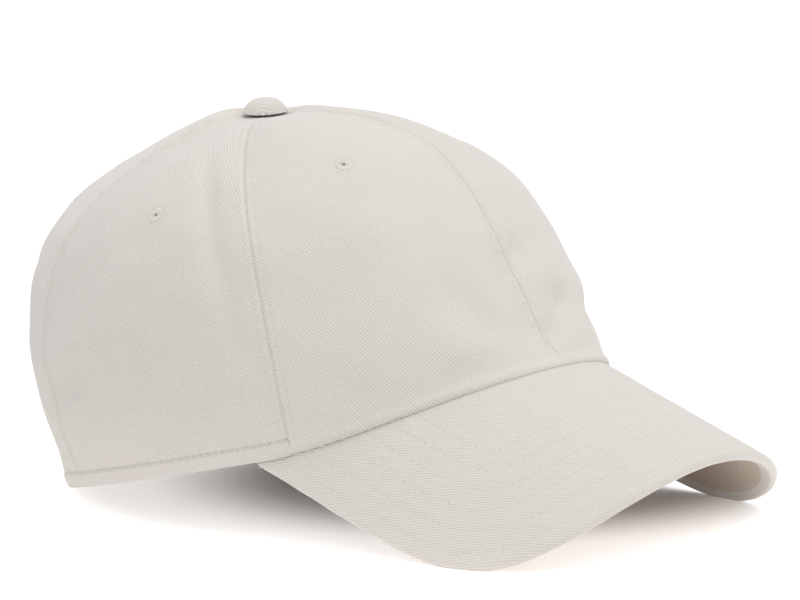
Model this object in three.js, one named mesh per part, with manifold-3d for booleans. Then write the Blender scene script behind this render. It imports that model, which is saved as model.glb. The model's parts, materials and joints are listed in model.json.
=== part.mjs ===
// Baseball cap: a six-panel unstructured twill crown, a curved bill, and a cloth strap with a metal cam
// clasp across the rear opening. Lengths are millimetres and angles are degrees.
//
// Cap frame: the hem plane is level at z = 0, the front is -Y, the wearer's left is +X and up is +Z.
// The exported group tips the cap nose-up until it stands on the bill's two low edges and on the two
// rear corners of the hem, and puts the origin under the middle of the whole cap.
import * as THREE from "three";
import { mergeVertices } from "three/addons/utils/BufferGeometryUtils.js";
import Module from "manifold-3d";

const wasm = await Module();
wasm.setup();

// ---------------------------------------------------------------- driving dimensions

// Hem: the lower edge of the crown, an oval seen from above
const HEM_FRONT = 96.5; // from the widest line to the front
const HEM_BACK = 96.5; // from the widest line to the back
const HEM_SIDE = 82; // half-width

// Crown: each meridian runs from the apex down to the hem
const CROWN_HEIGHT = 108.5;
const APEX_BACK = 7; // the apex sits this far behind the widest line
const MERIDIAN = {
  // shoulder: how far the top runs out level; waist: height of the lower bend; belly: bulge over the hem
  front: { shoulder: 0.92, waist: 0.27, belly: -0.21 },
  side: { shoulder: 0.91, waist: 0.465, belly: 0.24 },
  back: { shoulder: 0.65, waist: 1.035, belly: 0.23 },
};
const SIDE_SEAM_HEM = 65; // front panel to side panel, measured from the front at the hem
const SIDE_SEAM_APEX = 70;
const REAR_SEAM = 122; // side panel to back panel
const APEX_HOLE = 0.016; // share of each meridian left open under the top button
const TOP_RISE = 2; // the seams' cloth, gathered at the apex, lifts the top this much
const TOP_REACH = 28; // distance from the apex over which that lift fades

// Cloth thicknesses and the gap between touching pieces
const GAP = 0.3;
const LAYER_GAP = 0.55; // between curved layers, whose facets don't line up
const PANEL = 1.0;
const TAPE = 0.6;
const TAPE_WIDTH = 11;
const TAPE_TOP = 0.068; // the seam tapes stop short of the button's washer
const TAPE_BOTTOM = 0.965;

// Sewn eyelets, one in the upper part of each panel
const EYELET = { hole: 1.1, waist: 1.9, flange: 3.2, lip: 0.5, clearance: 0.3, stand: 0.6 };
const EYELET_PLACES = [
  { panel: "front_panel", angle: 38.5, down: 0.362 },
  { panel: "side_panel", angle: 90, down: 0.426 },
  { panel: "back_panel", angle: 145, down: 0.44 },
];

// Top button
const BUTTON = { radius: 7.5, height: 5.2, cloth: 0.7, shell: 0.5, shank: 1.6, washer: 5.5 };

// Bill: a flat pattern bent to a cylinder whose axis slopes down to the front
const BILL_SLOPE = 33.75;
const BILL_HALF_ARC = 96.5; // half the hem-side width, along the bend
const BILL_ARC_ANGLE = 63; // turned from the middle to each corner
const BILL_LENGTH = 62.5; // hem to front edge at the middle
const BILL_SIDE_POWER = 0.845; // how square the outline's sides and front are
const BILL_FRONT_POWER = 0.33;
const BILL_CLOTH = 0.7;
const BILL_BOARD = 1.6;
const BILL_LAYER_GAP = 0.25;
const BILL_THICKNESS = 2 * BILL_CLOTH + BILL_BOARD + 2 * BILL_LAYER_GAP;
const BILL_WRAP = 3; // how far the top cloth turns under the edge
const BILL_END = 0.022; // share of the outline trimmed at each sharp corner

// Sweatband inside the hem
const BAND_HEIGHT = 32;
const BAND_BACKING = 0.6;
const BAND_FACE = 0.9;
const BAND_FOOT = 0.99; // the band stops just above the hem's edge

// Rear opening: an arch on two short straight legs
const ARCH_HALF_WIDTH = 37;
const ARCH_LEG = 4;
const BINDING_WIDTH = 8;

// Strap and clasp run round a cone about the vertical axis (0, STRAP_AXIS_Y)
const STRAP_AXIS_Y = 24;
const CONE_RADIUS = 72.1; // of the crown's surface at the hem plane behind the axis
const CONE_FLARE = 0.153; // radius gained per mm of height
const STRAP_LOW = 7;
const STRAP_HIGH = 23;
const STRAP_OUTER = -4.3; // outward from the crown's surface, so negative is inside
const STRAP_INNER = -5.5;
const STRAP_TAIL = -60; // arc position of the tucked end, on the wearer's right
const STRAP_SEWN = 50; // arc position of the sewn end, on the wearer's left
const STRAP_STEP = 4; // length of one facet along the arc
const CLASP_ARC = -18; // the clasp's middle at rest
const CLASP_HALF = 11;
const RAIL = 2;
const BAR_WIDTH = 1.6;
const RAIL_CLEARANCE = 0.4;
const PIN_ARC = 5.5; // from the clasp's middle
const PIN_OUT = -2.4;
const PIN_RADIUS = 0.7;
const RAIL_INNER = -7.3; // the side rails, the bars and the lever, as distances out from the crown
const RAIL_OUTER = -0.6;
const TAB_BAR = { inner: -3.0, outer: -2.2 };
const FAR_BAR = { inner: -3.8, outer: -1.2 };
const GRIP_BAR = { inner: -7.3, outer: -5.9, half: 1.5 }; // behind the strap, under the lever's cam
const LEVER_TIP = -7.2; // arc position of its free end, from the clasp's middle
const LEVER_EYE = 1.5; // radius of the lever's barrel round the pin
const LEVER_INNER = 0.4; // the plate's inner face, outward from the pin's axis
const STRAP_RISE = { height: 1.7, from: 18, to: 36 }; // out to the hem, where the strap is sewn down
const TAB = { swollen: -1.2, outer: -3.0, inner: -4.0, wrap: 0.9, slot: 0.3, extra: 2 };

const FOOT_CUT = 0.4; // depth of the small flats where the cap stands

// ---------------------------------------------------------------- materials

const cloth = (color) => new THREE.MeshStandardMaterial({ color, roughness: 0.95, metalness: 0 });
const metal = (color) => new THREE.MeshStandardMaterial({ color, roughness: 0.4, metalness: 0.9 });
const TWILL = "#d9d4cd";
const LINING = "#d2ccc3";
const THREAD = "#dcd7d0";
const BOARD = "#e9e7e2";
const BRASS = "#8f8468";
const STEEL = "#9a9a98";

// ---------------------------------------------------------------- shapes of the crown and the bill

const rad = THREE.MathUtils.degToRad;
const { lerp, smoothstep } = THREE.MathUtils;

const SLOPE_SIN = Math.sin(rad(BILL_SLOPE));
const SLOPE_COS = Math.cos(rad(BILL_SLOPE));
const BILL_RADIUS = BILL_HALF_ARC / rad(BILL_ARC_ANGLE);

// How far forward along the bill's slope the hem lies, for a hem point at `angle` and its drop
const hemForward = (angle, drop) =>
  (drop * SLOPE_SIN - HEM_FRONT * (1 - Math.cos(angle))) / SLOPE_COS;

// The hem point that meets the bill's bend at arc position q
function hemOnBend(q) {
  const bend = q / BILL_RADIUS;
  const angle = Math.asin((BILL_RADIUS * Math.sin(bend)) / HEM_SIDE);
  const drop = BILL_RADIUS * (1 - Math.cos(bend));
  return { angle, drop, forward: hemForward(angle, drop) };
}

const CORNER = hemOnBend(BILL_HALF_ARC);
const FRONT_RISE = CORNER.forward * SLOPE_SIN + CORNER.drop * SLOPE_COS;

// Height of the hem over its plane: it rises over the bill and is level behind the bill's corners
function hemHeight(angle) {
  const wrapped = Math.abs(Math.atan2(Math.sin(angle), Math.cos(angle)));
  if (wrapped >= CORNER.angle) return 0;
  const bend = Math.asin((HEM_SIDE * Math.sin(wrapped)) / BILL_RADIUS);
  const drop = BILL_RADIUS * (1 - Math.cos(bend));
  return FRONT_RISE - hemForward(wrapped, drop) * SLOPE_SIN - drop * SLOPE_COS;
}

// Lift of the cloth gathered round the apex
function topRise(x, y) {
  const fromApex = Math.hypot(x, y - APEX_BACK);
  return TOP_RISE * Math.exp(-((fromApex / TOP_REACH) ** 2));
}

// The crown's outer surface: angle from the front towards the wearer's left, `down` 0 apex to 1 hem
function crownPoint(angle, down) {
  const cos = Math.cos(angle);
  const share = {
    front: Math.max(cos, 0) ** 2,
    side: Math.sin(angle) ** 2,
    back: Math.max(-cos, 0) ** 2,
  };
  const mix = (key) =>
    Object.keys(share).reduce((sum, side) => sum + share[side] * MERIDIAN[side][key], 0);
  const up = 1 - down;
  const near = 3 * down * up * up;
  const far = 3 * down * down * up;
  const end = down ** 3;
  const reach = near * mix("shoulder") + far * (1 + mix("belly")) + end;
  const foot = hemHeight(angle);
  const waist = foot + mix("waist") * (CROWN_HEIGHT - foot);
  const depth = cos > 0 ? HEM_FRONT : HEM_BACK;
  const x = HEM_SIDE * Math.sin(angle) * reach;
  const y = APEX_BACK * (1 - reach) - depth * cos * reach;
  const z = (up ** 3 + near) * CROWN_HEIGHT + far * waist + end * foot;
  return new THREE.Vector3(x, y, z + topRise(x, y));
}

function crownNormal(angle, down) {
  const step = 1e-3;
  const across = crownPoint(angle + step, down).sub(crownPoint(angle - step, down));
  const along = crownPoint(angle, down + step).sub(crownPoint(angle, down - step));
  return along.cross(across).normalize();
}

const crownInside = (angle, down, depth) =>
  crownPoint(angle, down).addScaledVector(crownNormal(angle, down), -depth);

// The meridian parameter that lies `length` above the hem, measured along the crown
function downAbove(angle, length) {
  const step = 0.002;
  let down = 1;
  let point = crownPoint(angle, down);
  for (let run = 0; run < length; ) {
    down -= step;
    const next = crownPoint(angle, down);
    run += next.distanceTo(point);
    point = next;
  }
  return down;
}

// A point of the bill: q along the bend, `forward` along the slope, `lift` square to the surface
function billPoint(q, forward, lift) {
  const bend = q / BILL_RADIUS;
  const radius = BILL_RADIUS + lift;
  const drop = BILL_RADIUS - radius * Math.cos(bend);
  return new THREE.Vector3(
    radius * Math.sin(bend),
    -HEM_FRONT - forward * SLOPE_COS + drop * SLOPE_SIN,
    FRONT_RISE - forward * SLOPE_SIN - drop * SLOPE_COS,
  );
}

// Both edges of the bill's flat pattern, from the wearer's right corner to the left one
function patternCurve(halfPoint) {
  const steps = 160;
  const half = Array.from({ length: steps + 1 }, (_, k) => halfPoint(1 - k / steps));
  const other = half.slice(0, -1).reverse();
  const points = half.map((p) => new THREE.Vector2(-p.x, p.y)).concat(other);
  const curve = new THREE.SplineCurve(points);
  curve.arcLengthDivisions = 1200;
  return curve;
}

const billInnerEdge = patternCurve(
  (t) => new THREE.Vector2(BILL_HALF_ARC * t, hemOnBend(BILL_HALF_ARC * t).forward),
);
const billOuterEdge = patternCurve((t) => {
  const turn = (Math.PI / 2) * (1 - (1 - t) ** 3);
  const reach = Math.max(Math.cos(turn), 0) ** BILL_FRONT_POWER;
  return new THREE.Vector2(
    BILL_HALF_ARC * Math.sin(turn) ** BILL_SIDE_POWER,
    lerp(CORNER.forward, BILL_LENGTH, reach),
  );
});

// ---------------------------------------------------------------- solids

// A closed skin between two faces sampled on one grid: face(u, v) with u across and v down, 0 to 1
function skin(across, down, outer, inner) {
  const points = [];
  for (const face of [outer, inner])
    for (let i = 0; i <= across; i++)
      for (let j = 0; j <= down; j++) points.push(...face(i / across, j / down).toArray());
  const at = (side, i, j) => (side * (across + 1) + i) * (down + 1) + j;
  const index = [];
  const quad = (a, b, c, d) => index.push(a, b, c, a, c, d);
  for (let i = 0; i < across; i++)
    for (let j = 0; j < down; j++) {
      quad(at(0, i, j), at(0, i, j + 1), at(0, i + 1, j + 1), at(0, i + 1, j));
      quad(at(1, i, j), at(1, i + 1, j), at(1, i + 1, j + 1), at(1, i, j + 1));
    }
  for (let j = 0; j < down; j++) {
    quad(at(0, 0, j), at(1, 0, j), at(1, 0, j + 1), at(0, 0, j + 1));
    quad(at(0, across, j), at(0, across, j + 1), at(1, across, j + 1), at(1, across, j));
  }
  for (let i = 0; i < across; i++) {
    quad(at(0, i, 0), at(0, i + 1, 0), at(1, i + 1, 0), at(1, i, 0));
    quad(at(0, i, down), at(1, i, down), at(1, i + 1, down), at(0, i + 1, down));
  }
  const geometry = new THREE.BufferGeometry();
  geometry.setAttribute("position", new THREE.Float32BufferAttribute(points, 3));
  geometry.setIndex(index);
  return geometry;
}

function solidOf(geometry) {
  const bare = geometry.clone();
  bare.deleteAttribute("normal");
  bare.deleteAttribute("uv");
  const merged = mergeVertices(bare, 1e-4);
  const triVerts = new Uint32Array(merged.index.array);
  const vertProperties = merged.attributes.position.array;
  return new wasm.Manifold(new wasm.Mesh({ numProp: 3, vertProperties, triVerts }));
}

function geometryOf(solid) {
  const { vertProperties, triVerts } = solid.getMesh();
  const geometry = new THREE.BufferGeometry();
  geometry.setAttribute("position", new THREE.BufferAttribute(vertProperties, 3));
  geometry.setIndex(new THREE.BufferAttribute(triVerts, 1));
  return geometry;
}

const cut = (geometry, tools) =>
  geometryOf(tools.reduce((solid, tool) => solid.subtract(solidOf(tool)), solidOf(geometry)));

const join = (geometries) =>
  geometryOf(geometries.map(solidOf).reduce((whole, solid) => whole.add(solid)));

// The cap's pieces, by name, in the cap frame
const cap = new THREE.Group();
function add(name, geometry, material) {
  const mesh = new THREE.Mesh(geometry, material);
  mesh.name = name;
  cap.add(mesh);
  return mesh;
}

const SIDES = [
  { side: "right", sign: -1 },
  { side: "left", sign: 1 },
];

// ---------------------------------------------------------------- crown panels and eyelets

const sideSeam = (down) => rad(lerp(SIDE_SEAM_HEM, SIDE_SEAM_APEX, (1 - down) ** 2));
const PANELS = {
  front_panel: { from: () => 0, to: sideSeam, across: 10 },
  side_panel: { from: sideSeam, to: () => rad(REAR_SEAM), across: 9 },
  back_panel: { from: () => rad(REAR_SEAM), to: () => Math.PI, across: 10 },
};
const PANEL_ROWS = 13;

// The gap beside a seam, as an angle, at the seam's distance from the apex
function seamGap(angle, down) {
  const point = crownPoint(angle, down);
  return GAP / 2 / Math.hypot(point.x, point.y - APEX_BACK);
}

function panelSkin({ from, to, across }, sign) {
  const place = (u, v) => {
    const down = lerp(APEX_HOLE, 1, v);
    const start = from(down) + seamGap(from(down), down);
    const end = to(down) - seamGap(to(down), down);
    return [sign > 0 ? lerp(start, end, u) : -lerp(end, start, u), down];
  };
  return skin(
    across,
    PANEL_ROWS,
    (u, v) => crownPoint(...place(u, v)),
    (u, v) => crownInside(...place(u, v), PANEL),
  );
}

function eyeletFrame({ angle, down }, sign) {
  const turn = sign * angle;
  const normal = crownNormal(turn, down);
  return {
    position: crownInside(turn, down, PANEL / 2),
    quaternion: new THREE.Quaternion().setFromUnitVectors(new THREE.Vector3(0, 1, 0), normal),
  };
}

function eyeletHole(place, sign) {
  const { position, quaternion } = eyeletFrame(place, sign);
  const hole = new THREE.CylinderGeometry(1, 1, 6 * PANEL, 16);
  hole.scale(EYELET.waist + EYELET.clearance, 1, EYELET.waist + EYELET.clearance);
  return hole.applyQuaternion(quaternion).translate(...position.toArray());
}

// The thread ring: two flanges that grip the cloth round its hole
function eyeletRing() {
  const grip = PANEL / 2 + EYELET.stand;
  const top = grip + EYELET.lip;
  const crest = EYELET.flange - EYELET.lip;
  const half = [
    [EYELET.waist, grip],
    [EYELET.flange, grip],
    [crest, top],
    [EYELET.hole, top],
  ];
  const lower = half.map(([r, y]) => [r, -y]).reverse();
  const profile = [...half, ...lower];
  profile.push(profile[0]);
  return new THREE.LatheGeometry(profile.map((p) => new THREE.Vector2(...p)), 14);
}

// The rear opening as a prism through both back panels
function archPrism() {
  const radius = ARCH_HALF_WIDTH;
  const below = -20; // clear of the hem
  const behind = 1.4 * HEM_BACK; // clear of the crown's back
  const shape = new THREE.Shape();
  shape.moveTo(-radius, below);
  shape.lineTo(radius, below);
  shape.lineTo(radius, ARCH_LEG);
  shape.absarc(0, ARCH_LEG, radius, 0, Math.PI);
  shape.lineTo(-radius, below);
  const extrusion = { depth: HEM_BACK, bevelEnabled: false, curveSegments: 22 };
  const prism = new THREE.ExtrudeGeometry(shape, extrusion);
  return prism.rotateX(Math.PI / 2).translate(0, behind, 0);
}

// ---------------------------------------------------------------- seam tapes

function seamTape(angleAt, bottom) {
  const depth = PANEL + LAYER_GAP;
  const place = (u, v) => {
    const down = lerp(TAPE_TOP, bottom, v);
    const point = crownPoint(angleAt(down), down);
    const radius = Math.hypot(point.x, point.y - APEX_BACK);
    return [angleAt(down) + ((u - 0.5) * TAPE_WIDTH) / radius, down];
  };
  return skin(
    2,
    12,
    (u, v) => crownInside(...place(u, v), depth),
    (u, v) => crownInside(...place(u, v), depth + TAPE),
  );
}

// The point of the crown behind the axis line that lies at (x, z), as its angle and meridian share
function crownBehind(x, z) {
  let angle = Math.PI - Math.asin(x / HEM_SIDE);
  let down = 0.9;
  for (let k = 0; k < 40; k++) {
    const point = crownPoint(angle, down);
    angle += (point.x - x) / HEM_SIDE;
    down += (point.z - z) / (3 * CROWN_HEIGHT);
  }
  return [angle, down];
}

const ARCH_TOP = ARCH_LEG + ARCH_HALF_WIDTH;

const SEAMS = [
  { name: "front_seam_tape", angle: () => 0, bottom: TAPE_BOTTOM },
  { name: "right_front_seam_tape", angle: (down) => -sideSeam(down), bottom: TAPE_BOTTOM },
  { name: "left_front_seam_tape", angle: sideSeam, bottom: TAPE_BOTTOM },
  { name: "right_rear_seam_tape", angle: () => -rad(REAR_SEAM), bottom: TAPE_BOTTOM },
  { name: "left_rear_seam_tape", angle: () => rad(REAR_SEAM), bottom: TAPE_BOTTOM },
  { name: "back_seam_tape", angle: () => Math.PI, bottom: crownBehind(0, ARCH_TOP + BINDING_WIDTH + 1)[1] },
];

// The tape that binds the edge of the rear opening, following its legs and its arch
function openingBinding() {
  const depth = PANEL + LAYER_GAP;
  const legShare = 0.06; // of the binding's length, on each leg
  const footRise = 0.2; // share of the leg left clear at the hem
  const edge = (u, v) => {
    const radius = ARCH_HALF_WIDTH + GAP + v * BINDING_WIDTH;
    const onLeg = Math.max(legShare - u, u - 1 + legShare, 0) / legShare;
    const turn = THREE.MathUtils.clamp((u - legShare) / (1 - 2 * legShare), 0, 1) * Math.PI;
    const x = radius * Math.cos(turn);
    const z = ARCH_LEG * lerp(1, footRise, onLeg) + radius * Math.sin(turn);
    return crownBehind(x, z);
  };
  return skin(
    34,
    2,
    (u, v) => crownInside(...edge(u, 1 - v), depth),
    (u, v) => crownInside(...edge(u, 1 - v), depth + TAPE),
  );
}

// ---------------------------------------------------------------- bill

// A point of the flat pattern: v = 0 at the hem, 1 on the line `inset` inside the outer edge
function patternPoint(u, v, inset, start = 0) {
  const share = lerp(BILL_END, 1 - BILL_END, u);
  const tangent = billOuterEdge.getTangentAt(share);
  const outward = new THREE.Vector2(-tangent.y, tangent.x);
  const rim = billOuterEdge.getPointAt(share).addScaledVector(outward, -inset);
  const hem = billInnerEdge.getPointAt(share);
  hem.addScaledVector(rim.clone().sub(hem).normalize(), start);
  return hem.lerp(rim, v);
}

const billAt = (pattern, lift) => billPoint(pattern.x, pattern.y, lift - GAP);

const RIM = BILL_THICKNESS / 2;
const TOP_STEPS = 5;
const ROUND_STEPS = 4;
const WRAP_STEPS = 1;
const COVER_STEPS = TOP_STEPS + ROUND_STEPS + WRAP_STEPS;

// The top cloth: over the bill, round its outer edge and a little way back underneath.
// `inward` is 0 on the cloth's outside and the cloth's thickness on its inside.
function coverPoint(u, v, inward) {
  const step = v * COVER_STEPS;
  const half = RIM - inward;
  if (step <= TOP_STEPS) return billAt(patternPoint(u, step / TOP_STEPS, RIM), half - RIM);
  const turn = Math.min((step - TOP_STEPS) / ROUND_STEPS, 1) * Math.PI;
  const width = billOuterEdge
    .getPointAt(lerp(BILL_END, 1 - BILL_END, u))
    .distanceTo(patternPoint(u, 0, RIM));
  const room = Math.max(Math.min(BILL_WRAP, width - 2 * RIM), 0.5);
  const back = Math.max(step - TOP_STEPS - ROUND_STEPS, 0) * room;
  const inset = RIM - half * Math.sin(turn) + back;
  return billAt(patternPoint(u, 1, inset), half * Math.cos(turn) - RIM);
}

const BILL_COLUMNS = 38;

function billTopCover() {
  return skin(
    BILL_COLUMNS,
    COVER_STEPS,
    (u, v) => coverPoint(u, v, 0),
    (u, v) => coverPoint(u, v, BILL_CLOTH),
  );
}

function billLayer(top, thickness, inset) {
  const face = (lift) => (u, v) => billAt(patternPoint(u, v, inset), lift);
  return skin(BILL_COLUMNS, 3, face(top), face(top - thickness));
}

// ---------------------------------------------------------------- sweatband

const BAND_END = Math.PI - Math.asin((ARCH_HALF_WIDTH + 1) / HEM_SIDE);
const BAND_DEPTH = PANEL + TAPE + 2 * LAYER_GAP; // inside the seam tapes
const POCKET_DEPTH = 1.3 - STRAP_INNER - BAND_DEPTH; // extra room for the strap's two ends

function bandLayer(offset, thickness) {
  const columns = 42;
  const tops = Array.from({ length: columns + 1 }, (_, k) =>
    downAbove(lerp(-BAND_END, BAND_END, k / columns), BAND_HEIGHT),
  );
  const place = (u, v, depth) => {
    const angle = lerp(-BAND_END, BAND_END, u);
    const pocket = POCKET_DEPTH * smoothstep(Math.abs(angle), rad(100), rad(128));
    const down = lerp(tops[Math.round(u * columns)], BAND_FOOT, v);
    return crownInside(angle, down, BAND_DEPTH + pocket + depth);
  };
  return skin(
    columns,
    2,
    (u, v) => place(u, v, offset),
    (u, v) => place(u, v, offset + thickness),
  );
}

// ---------------------------------------------------------------- strap and clasp

// A point by its arc length round the strap's cone, its height and its distance out from the crown
function conePoint(arc, out, z) {
  const turn = arc / CONE_RADIUS;
  const radius = CONE_RADIUS + CONE_FLARE * z + out;
  return new THREE.Vector3(radius * Math.sin(turn), STRAP_AXIS_Y + radius * Math.cos(turn), z);
}

// Bends a prism, drawn flat as (arc, out, z), on to the strap's cone
function bendToCone(geometry) {
  const flat = geometry.getAttribute("position");
  const point = new THREE.Vector3();
  for (let k = 0; k < flat.count; k++) {
    point.fromBufferAttribute(flat, k);
    flat.setXYZ(k, ...conePoint(point.x, point.y, point.z).toArray());
  }
  return geometry;
}

// A prism of the outline [arc, out] from one height to another, bent round the cone
function conePrism(outline, low, high) {
  const shape = new THREE.Shape(outline.map((p) => new THREE.Vector2(...p)));
  const prism = new THREE.ExtrudeGeometry(shape, { depth: high - low, bevelEnabled: false });
  return bendToCone(prism.translate(0, 0, low));
}

// A ribbon round the cone between two arc positions; its faces' distances out can change along it
function ribbon(from, to, outerAt, innerAt, low, high) {
  const face = (outAt) => (u, v) => {
    const arc = lerp(to, from, u);
    return conePoint(arc, outAt(arc), lerp(high, low, v));
  };
  return skin(Math.ceil((to - from) / STRAP_STEP), 1, face(outerAt), face(innerAt));
}

const block = (from, to, inner, outer, low, high) =>
  ribbon(from, to, () => outer, () => inner, low, high);

// The strap lies a little deeper than the hem, and rises to it where it is sewn down
function adjusterStrap() {
  const rise = (arc) => STRAP_RISE.height * smoothstep(arc, STRAP_RISE.from, STRAP_RISE.to);
  return ribbon(
    STRAP_TAIL,
    STRAP_SEWN,
    (arc) => STRAP_OUTER + rise(arc),
    (arc) => STRAP_INNER + rise(arc),
    STRAP_LOW,
    STRAP_HIGH,
  );
}

const CLASP_LOW = STRAP_LOW - RAIL_CLEARANCE;
const CLASP_HIGH = STRAP_HIGH + RAIL_CLEARANCE;
const at = (offset) => CLASP_ARC + offset;

// A round prism on the lever's pivot, thicker than the pin by `clearance` all round
function pinPrism(clearance, low, high) {
  const radius = PIN_RADIUS + clearance;
  const outline = Array.from({ length: 16 }, (_, k) => {
    const turn = (2 * Math.PI * k) / 16;
    return [at(PIN_ARC) + radius * Math.cos(turn), PIN_OUT + radius * Math.sin(turn)];
  });
  return conePrism(outline, low, high);
}

const PIN_SHORT = 0.5; // the pin's ends stop short of the rails' outer faces
const PIN_LOW = CLASP_LOW - RAIL + PIN_SHORT;
const PIN_HIGH = CLASP_HIGH + RAIL - PIN_SHORT;
const claspPin = () => pinPrism(0, PIN_LOW, PIN_HIGH);

function claspFrame() {
  const across = [CLASP_LOW - RAIL / 2, CLASP_HIGH + RAIL / 2];
  const [start, end] = [at(-CLASP_HALF), at(CLASP_HALF)];
  const rail = (low) => block(start, end, RAIL_INNER, RAIL_OUTER, low, low + RAIL);
  const bar = (from, to, { inner, outer }) => block(from, to, inner, outer, ...across);
  const frame = join([
    rail(CLASP_LOW - RAIL),
    rail(CLASP_HIGH),
    bar(start, start + BAR_WIDTH, TAB_BAR),
    bar(end - BAR_WIDTH, end, FAR_BAR),
    bar(at(-GRIP_BAR.half), at(GRIP_BAR.half), GRIP_BAR),
  ]);
  return cut(frame, [pinPrism(GAP, PIN_LOW - GAP, PIN_HIGH + GAP)]);
}

function claspLever() {
  const low = CLASP_LOW + RAIL_CLEARANCE;
  const high = CLASP_HIGH - RAIL_CLEARANCE;
  const [inner, outer] = [PIN_OUT + LEVER_INNER, PIN_OUT + LEVER_EYE];
  const plate = block(at(LEVER_TIP), at(PIN_ARC), inner, outer, low, high);
  const lever = join([plate, pinPrism(LEVER_EYE - PIN_RADIUS, low, high)]);
  const beyond = 1; // the bore's cutter stands this far past both ends
  return cut(lever, [pinPrism(GAP, low - beyond, high + beyond)]);
}

// The cloth loop that ties the clasp's end bar to the right side of the opening: two layers sewn
// together behind the bar
function claspTab() {
  const bar = at(-CLASP_HALF);
  const swell = (arc) => lerp(TAB.outer, TAB.swollen, smoothstep(arc, bar - 4, bar - 1));
  const nose = bar + BAR_WIDTH + TAB.wrap;
  const root = STRAP_TAIL - TAB.extra;
  const loop = ribbon(root, nose, swell, () => TAB.inner, STRAP_LOW, STRAP_HIGH);
  const slotInner = TAB_BAR.inner - TAB.slot;
  const slotOuter = TAB_BAR.outer + TAB.slot;
  const slotEnds = [bar - TAB.slot, bar + BAR_WIDTH + TAB.slot];
  return cut(loop, [block(...slotEnds, slotInner, slotOuter, 0, 2 * STRAP_HIGH)]);
}

// ---------------------------------------------------------------- top button

const DOME_STEPS = 5;

// A dome's profile from its rim to the axis, above a base line
const domeArc = (radius, rise, base) =>
  Array.from({ length: DOME_STEPS + 1 }, (_, k) => {
    const turn = (k / DOME_STEPS) * (Math.PI / 2);
    return [k === DOME_STEPS ? 0 : radius * Math.cos(turn), base + rise * Math.sin(turn)];
  });

// Turned about the crown's apex, from a profile of [radius, height over the crown]
function turnedAtApex(profile) {
  const lathe = new THREE.LatheGeometry(profile.map((p) => new THREE.Vector2(...p)), 22);
  return lathe.rotateX(Math.PI / 2).translate(0, APEX_BACK, CROWN_HEIGHT + TOP_RISE);
}

const BUTTON_BASE = 1.6;

function buttonCover() {
  const { radius, height, cloth: thick } = BUTTON;
  const rise = height - BUTTON_BASE;
  const tuck = [
    [radius - 0.9, BUTTON_BASE - 0.5],
    [radius - 1.9, GAP + thick],
    [radius - 1.9, GAP],
    [radius - 0.5, GAP + 0.2],
  ];
  const inside = domeArc(radius - thick, rise - thick, BUTTON_BASE).reverse();
  return turnedAtApex([...inside, ...tuck, ...domeArc(radius, rise, BUTTON_BASE)]);
}

function buttonShell() {
  const { radius, height, cloth: thick, shell } = BUTTON;
  const outerRadius = radius - thick - GAP;
  const rise = height - BUTTON_BASE - thick - GAP;
  const inside = domeArc(outerRadius - shell, rise - shell, BUTTON_BASE).reverse();
  return turnedAtApex([...inside, ...domeArc(outerRadius, rise, BUTTON_BASE)]);
}

function buttonStud() {
  const { height, cloth: thick, shell, shank, washer } = BUTTON;
  const top = height - thick - shell - 2 * GAP;
  const under = -PANEL - LAYER_GAP;
  return turnedAtApex([
    [0, under - 0.8],
    [washer, under - 0.8],
    [washer, under],
    [shank, under],
    [shank, top],
    [0, top],
  ]);
}

// ---------------------------------------------------------------- assembly

const crownCloth = cloth(TWILL);
const liningCloth = cloth(LINING);
const thread = cloth(THREAD);
const board = cloth(BOARD);
const brass = metal(BRASS);
const steel = metal(STEEL);

for (const { side, sign } of SIDES)
  for (const [panel, shape] of Object.entries(PANELS)) {
    const tools = EYELET_PLACES.filter((place) => place.panel === panel).map((place) =>
      eyeletHole({ angle: rad(place.angle), down: place.down }, sign),
    );
    if (panel === "back_panel") tools.push(archPrism());
    add(`${panel}_${side}`, cut(panelSkin(shape, sign), tools), crownCloth);
  }

for (const { side, sign } of SIDES)
  for (const { panel, angle, down } of EYELET_PLACES) {
    const ring = add(`${panel}_eyelet_${side}`, eyeletRing(), thread);
    const { position, quaternion } = eyeletFrame({ angle: rad(angle), down }, sign);
    ring.position.copy(position);
    ring.quaternion.copy(quaternion);
  }

for (const { name, angle, bottom } of SEAMS) add(name, seamTape(angle, bottom), liningCloth);
add("rear_opening_binding", openingBinding(), liningCloth);

add("bill_top_cover", billTopCover(), crownCloth);
add("bill_board", billLayer(-BILL_CLOTH - BILL_LAYER_GAP, BILL_BOARD, RIM), board);
add(
  "bill_under_cover",
  billLayer(BILL_CLOTH - BILL_THICKNESS, BILL_CLOTH, RIM + BILL_WRAP + GAP),
  crownCloth,
);

add("sweatband_backing", bandLayer(0, BAND_BACKING), board);
add("sweatband", bandLayer(BAND_BACKING + LAYER_GAP, BAND_FACE), liningCloth);

add("button_cover", buttonCover(), crownCloth);
add("button_shell", buttonShell(), steel);
add("button_stud", buttonStud(), steel);

add("adjuster_strap", adjusterStrap(), crownCloth);
add("clasp_tab", claspTab(), crownCloth);
add("clasp_frame", claspFrame(), brass);
add("clasp_lever", claspLever(), brass);
add("clasp_pin", claspPin(), steel);

// ---------------------------------------------------------------- how the cap stands

const STANDING = ["bill_top_cover", "back_panel_right", "back_panel_left"].map((name) =>
  cap.getObjectByName(name),
);

// The lowest point of a piece once the cap is tipped nose-up by `tip`
function lowest(mesh, tip) {
  const points = mesh.geometry.getAttribute("position");
  let low = Infinity;
  for (let k = 0; k < points.count; k++)
    low = Math.min(low, points.getZ(k) * Math.cos(tip) - points.getY(k) * Math.sin(tip));
  return low;
}

// The tip at which the bill's edges and the hem's rear corners are equally low
function standingTip() {
  let [flat, steep] = [0, rad(25)];
  for (let k = 0; k < 40; k++) {
    const tip = (flat + steep) / 2;
    if (lowest(STANDING[0], tip) < lowest(STANDING[1], tip)) flat = tip;
    else steep = tip;
  }
  return flat;
}

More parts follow.
